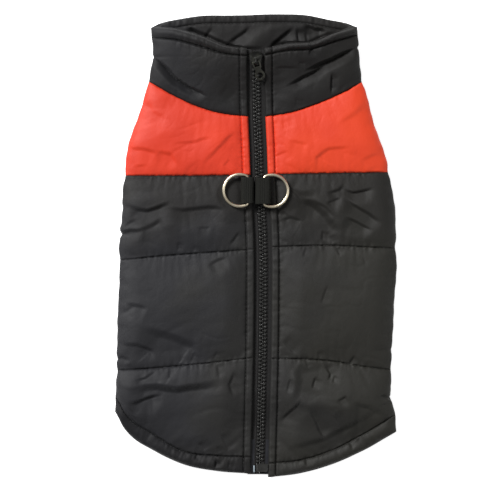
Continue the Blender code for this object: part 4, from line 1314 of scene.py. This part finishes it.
# The pin's pale blue-grey colour is a painted highlight along its round edge.
pin_finish = Finish("pin plastic with painted highlight")
pin_wear_and_highlight = pin_finish.noise(pin_finish.object_place(), 700, 2)
PIN_PAINTED_HIGHLIGHT = pin_finish.shade(
    Base_Color=pin_finish.blend(pin_wear_and_highlight, (0.22, 0.27, 0.30, 1), (0.36, 0.42, 0.46, 1)),
    Roughness=0.25 + pin_wear_and_highlight * 0.15,
)
pin = moulded_block("zip_pin_rod", "zip_pin", PIN_PAINTED_HIGHLIGHT, 0.4)
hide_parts("zip_pin")

film_finish = Finish("stiffening film")
film_haze = film_finish.noise(film_finish.object_place(), 90, 3)
FILM = film_finish.shade(
    Base_Color=film_finish.blend(film_haze, (0.006, 0.006, 0.009, 1), (0.014, 0.015, 0.020, 1)),
    Roughness=0.3 + film_haze * 0.25,
    Normal=film_finish.bump(film_haze, 0.3, 0.0005),
)
FILM_RISE, FILM_THICKNESS = 0.12, 0.08  # over the tape
film_y = np.linspace(-182.6, -155.0, 30)[:, None]
film_reach = np.linspace(4.4, 9.2, 8)[None, :]
for side in (LEFT, RIGHT):
    low = TAPE_TOP + FILM_RISE + lift(side, np.zeros_like(film_y), film_y)
    name = f"tape_film_{WORDS[side]}"
    film = strip_beside_zip(name, side, film_y, film_reach, low + FILM_THICKNESS, low, FILM)

# ======================================================================================
# Slider and pull tab. Dark enamelled die-cast metal. The pull hangs by its crossbar from
# the slider's arch and has a ring at its end.
# ======================================================================================


def enamel(name, dark, light):
    """Enamel over cast metal: glossy, with small dents, and paler where it has rubbed."""
    finish = Finish(name)
    cast = finish.noise(finish.object_place(), 520, 3, 0.6)
    rubbed = finish.ramp(finish.noise(finish.object_place(), 210, 4, 0.65), 0.45, 0.75)
    return finish.shade(
        Base_Color=finish.blend(rubbed, dark, light),
        Metallic=0.3,
        Roughness=0.34 + cast * 0.14,
        Normal=finish.bump(cast, 0.3, 0.00015),
    )


SLIDER_ENAMEL = enamel("slider enamel", (0.005, 0.005, 0.004, 1), (0.026, 0.026, 0.019, 1))
PULL_ENAMEL = enamel("pull enamel", (0.016, 0.016, 0.012, 1), (0.055, 0.054, 0.042, 1))
CAST_EDGE = 0.22
PLATE_RIM, PLATE_DISH = 0.9, 0.4
FACET = 4  # degrees: flatter than this, two of the CAD's facets are one face
HARD_EDGE = 38  # degrees


def rounded_copy(name, node, enamelled):
    """A CAD node's shape with its facets joined and its hard edges rounded. The slider's plate is
    dished, with a raised rim."""
    bm = bmesh.new()
    bm.from_mesh(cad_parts[node].data)
    bmesh.ops.remove_doubles(bm, verts=bm.verts[:], dist=0.01 * MM)
    bmesh.ops.dissolve_limit(bm, angle_limit=math.radians(FACET), verts=bm.verts[:], edges=bm.edges[:])
    if node == "zip_slider":
        plate = max((face for face in bm.faces if face.normal.z > 0.8), key=lambda face: face.calc_area())
        bmesh.ops.inset_region(bm, faces=[plate], thickness=PLATE_RIM * MM, depth=0)
        bmesh.ops.translate(bm, vec=plate.normal * -PLATE_DISH * MM, verts=plate.verts[:])
    shared = [edge for edge in bm.edges if len(edge.link_faces) == 2]
    hard = [edge for edge in shared if edge.calc_face_angle() > math.radians(HARD_EDGE)]
    bmesh.ops.bevel(
        bm, geom=hard, offset=CAST_EDGE * MM, affect="EDGES", segments=2, profile=0.5, material=-1,
        clamp_overlap=True,
    )
    item = finished_object(name, bm, enamelled, "pull" if node == "zip_pull" else "vest")
    item.data.set_sharp_from_angle(angle=math.radians(50))
    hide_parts(node)
    return item


rounded_copy("slider_body", "zip_slider", SLIDER_ENAMEL)
rounded_copy("pull_tab", "zip_pull", PULL_ENAMEL)

# ======================================================================================
# D-rings. Nickel-plated steel wire bent to a D, each with its straight bar in a webbing loop.
# ======================================================================================
WIRE = 1.3
RING_RADIUS = 12.7
BAR_OFFSET = 6.1  # from the ring's centre to its bar
BAR_CORNER = 0.8
BAR_Z = 14.0

plating = Finish("nickel plating")
tarnish = plating.noise(plating.object_place(), 130, 3, 0.6)
scratches = plating.noise(plating.object_place(), 1900, 2)
NICKEL = plating.shade(
    Base_Color=plating.blend(tarnish, (0.78, 0.66, 0.45, 1), (0.95, 0.87, 0.70, 1)),
    Metallic=1.0,
    Roughness=0.24 + tarnish * 0.16,
    Normal=plating.bump(scratches, 0.08, 0.0001),
)

# Side, the bar's x and y, and the loop's x from and to.
LOOPS = (
    (LEFT, -7.0, 44.4, -12.0, -1.6),
    (RIGHT, 6.6, 44.0, -0.6, 11.9),
)
for side, bar_x, bar_y, _, _ in LOOPS:
    reach = math.sqrt(RING_RADIUS**2 - BAR_OFFSET**2)
    first = math.atan2(reach, -BAR_OFFSET)
    path = [(0.0, y) for y in np.linspace(BAR_CORNER - reach, reach - BAR_CORNER, 12)]
    for angle in np.linspace(first, -first, 98)[1:-1]:
        path.append((BAR_OFFSET + RING_RADIUS * math.cos(angle), RING_RADIUS * math.sin(angle)))
    wire = bpy.data.curves.new("wire", "CURVE")
    wire.dimensions = "3D"
    wire.bevel_depth = WIRE * MM
    wire.bevel_resolution = 5
    spline = wire.splines.new("POLY")
    spline.points.add(len(path) - 1)
    for point, (x, y) in zip(spline.points, path):
        point.co = ((bar_x + side * x) * MM, (bar_y + y) * MM, BAR_Z * MM, 1)
    spline.use_cyclic_u = True
    bent = placed("wire", wire)
    mesh = bpy.data.meshes.new_from_object(bent.evaluated_get(bpy.context.evaluated_depsgraph_get()))
    bpy.data.objects.remove(bent, do_unlink=True)
    bm = bmesh.new()
    bm.from_mesh(mesh)
    bmesh.ops.recalc_face_normals(bm, faces=bm.faces[:])
    ring = finished_object(f"ring_wire_{WORDS[side]}", bm, NICKEL, f"ring_{WORDS[side]}")
    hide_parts(f"d_ring_{WORDS[side]}")

# ======================================================================================
# Webbing loops. Black ribbed webbing turned back on itself round each ring's bar and sewn
# down over the placket edge. The ribs run along the bar.
# ======================================================================================
LOOP_WIDTH = 21.0
LOOP_FLOOR, LOOP_TOP = 10.8, 17.0
LOOP_LEVEL, LOOP_RADIUS = (LOOP_TOP + LOOP_FLOOR) / 2, (LOOP_TOP - LOOP_FLOOR) / 2
LOOP_ENDS = 0.15  # its two ends stop short of each other under it
WEBBING = 1.2
RIB, RIB_RISE = 1.8, 0.26
LOOP_THINNING = 0.12  # against the CAD's wall
SELVEDGE, SELVEDGE_THINNING = 0.8, 0.25

LOOP_WEAVE = woven_tape("loop webbing", (0.0028, 0.0029, 0.0018, 1), (0.0105, 0.0107, 0.0070, 1), 0.75)


def round_loop(run, straight, radius, inset):
    """x and z round a flattened tube whose middle is at 0. run starts in the middle of its floor."""
    bend = math.pi * radius
    x, z = [], []
    for at in run:
        if at < straight / 2:
            flat_x, side_z = at, -1.0
        elif at < straight / 2 + bend:
            flat_x, side_z, angle = straight / 2, None, (at - straight / 2) / radius - math.pi / 2
        elif at < 1.5 * straight + bend:
            flat_x, side_z = straight / 2 - (at - straight / 2 - bend), 1.0
        elif at < 1.5 * straight + 2 * bend:
            flat_x, side_z, angle = -straight / 2, None, (at - 1.5 * straight - bend) / radius + math.pi / 2
        else:
            flat_x, side_z = at - (2 * straight + 2 * bend), -1.0
        round_x = (radius - inset) * math.cos(angle) if side_z is None else 0.0
        x.append(flat_x + round_x)
        z.append((radius - inset) * (math.sin(angle) if side_z is None else side_z))
    return np.array(x), np.array(z)


for side, bar_x, bar_y, x_low, x_high in LOOPS:
    straight = x_high - x_low - 2 * LOOP_RADIUS
    run = np.linspace(LOOP_ENDS, 2 * straight + 2 * math.pi * LOOP_RADIUS - LOOP_ENDS, 150)
    across = np.linspace(-LOOP_WIDTH / 2, LOOP_WIDTH / 2, 25)[:, None]
    selvedge = smooth((LOOP_WIDTH / 2 - abs(across)) / SELVEDGE)
    ribs = RIB_RISE * (1 - abs(np.cos(math.pi * run / RIB)) ** 1.5)[None, :] * (0.4 + 0.6 * selvedge)
    (out_x, out_z), (in_x, in_z) = (
        (x + (x_low + x_high) / 2, z + LOOP_LEVEL)
        for x, z in (round_loop(run, straight, LOOP_RADIUS, inset) for inset in (0.0, WEBBING))
    )
    lean = 0.10 * np.sin(across / 4 + side)
    mid_x, mid_z = (out_x + in_x) / 2, (out_z + in_z) / 2
    thin = 1 - LOOP_THINNING - (1 - selvedge) * SELVEDGE_THINNING
    outer, inner = (
        points(mid_x + (x - mid_x) * part + lean, bar_y + across, mid_z + (z - mid_z) * part)
        for x, z, part in ((out_x, out_z, thin + ribs), (in_x, in_z, thin))
    )
    cloth_uv = points(run[None, :], across)
    loop = cloth_wall(f"webbing_loop_{WORDS[side]}", inner, outer, cloth_uv, LOOP_WEAVE)
    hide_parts(f"ring_loop_{WORDS[side]}")

# ======================================================================================
# Floor, light and camera. The vest is seen from straight above in even, soft light.
# ======================================================================================
FLOOR_SIZE, FLOOR_LEVEL, FLOOR_GLOW = 3.0, -0.0005, 0.75
WORLD_LIGHT = 0.22
WHITE = (1, 1, 1, 1)
bm = bmesh.new()
bmesh.ops.create_grid(bm, x_segments=1, y_segments=1, size=FLOOR_SIZE)
floor = placed("floor", mesh_from("floor", bm))
floor.location.z = FLOOR_LEVEL
paper = Finish("white paper")
grain = paper.noise(paper.object_place(), 4)
floor.data.materials.append(paper.shade(
    Base_Color=paper.blend(grain, (0.93, 0.93, 0.93, 1), (0.95, 0.95, 0.95, 1)),
    Roughness=0.9,
    Emission_Color=WHITE,
    Emission_Strength=FLOOR_GLOW,
))

world = bpy.data.worlds.new("studio")
bpy.context.scene.world = world
world.use_nodes = True
sky = world.node_tree.nodes["Background"].inputs
sky["Color"].default_value = WHITE
sky["Strength"].default_value = WORLD_LIGHT

# Name, size in metres, power in watts, and place.
LAMPS = (
    ("window", 0.8, 88, (-1.42, 1.3, 1.7)),
    ("fill", 1.6, 10, (1.5, -0.4, 1.8)),
)
for lamp_name, size, power, place in LAMPS:
    light = bpy.data.lights.new(lamp_name, "AREA")
    light.size, light.energy = size, power
    lamp = placed(lamp_name, light)
    lamp.location = place
    lamp.rotation_euler = (-Vector(place)).to_track_quat("-Z", "Y").to_euler()

VIEW_MIDDLE, CAMERA_HEIGHT = (-0.0048, -0.0032), 2.0
VIEW_SPAN, VIEW_LEVEL = 0.4, 0.006  # the frame's width, on the level of the zip
lens = bpy.data.cameras.new("camera")
lens.sensor_width = 36
lens.lens = lens.sensor_width * (CAMERA_HEIGHT - VIEW_LEVEL) / VIEW_SPAN
camera = placed("camera", lens)
camera.location = (*VIEW_MIDDLE, CAMERA_HEIGHT)
bpy.context.scene.camera = camera
bpy.context.scene.view_settings.view_transform = "Standard"
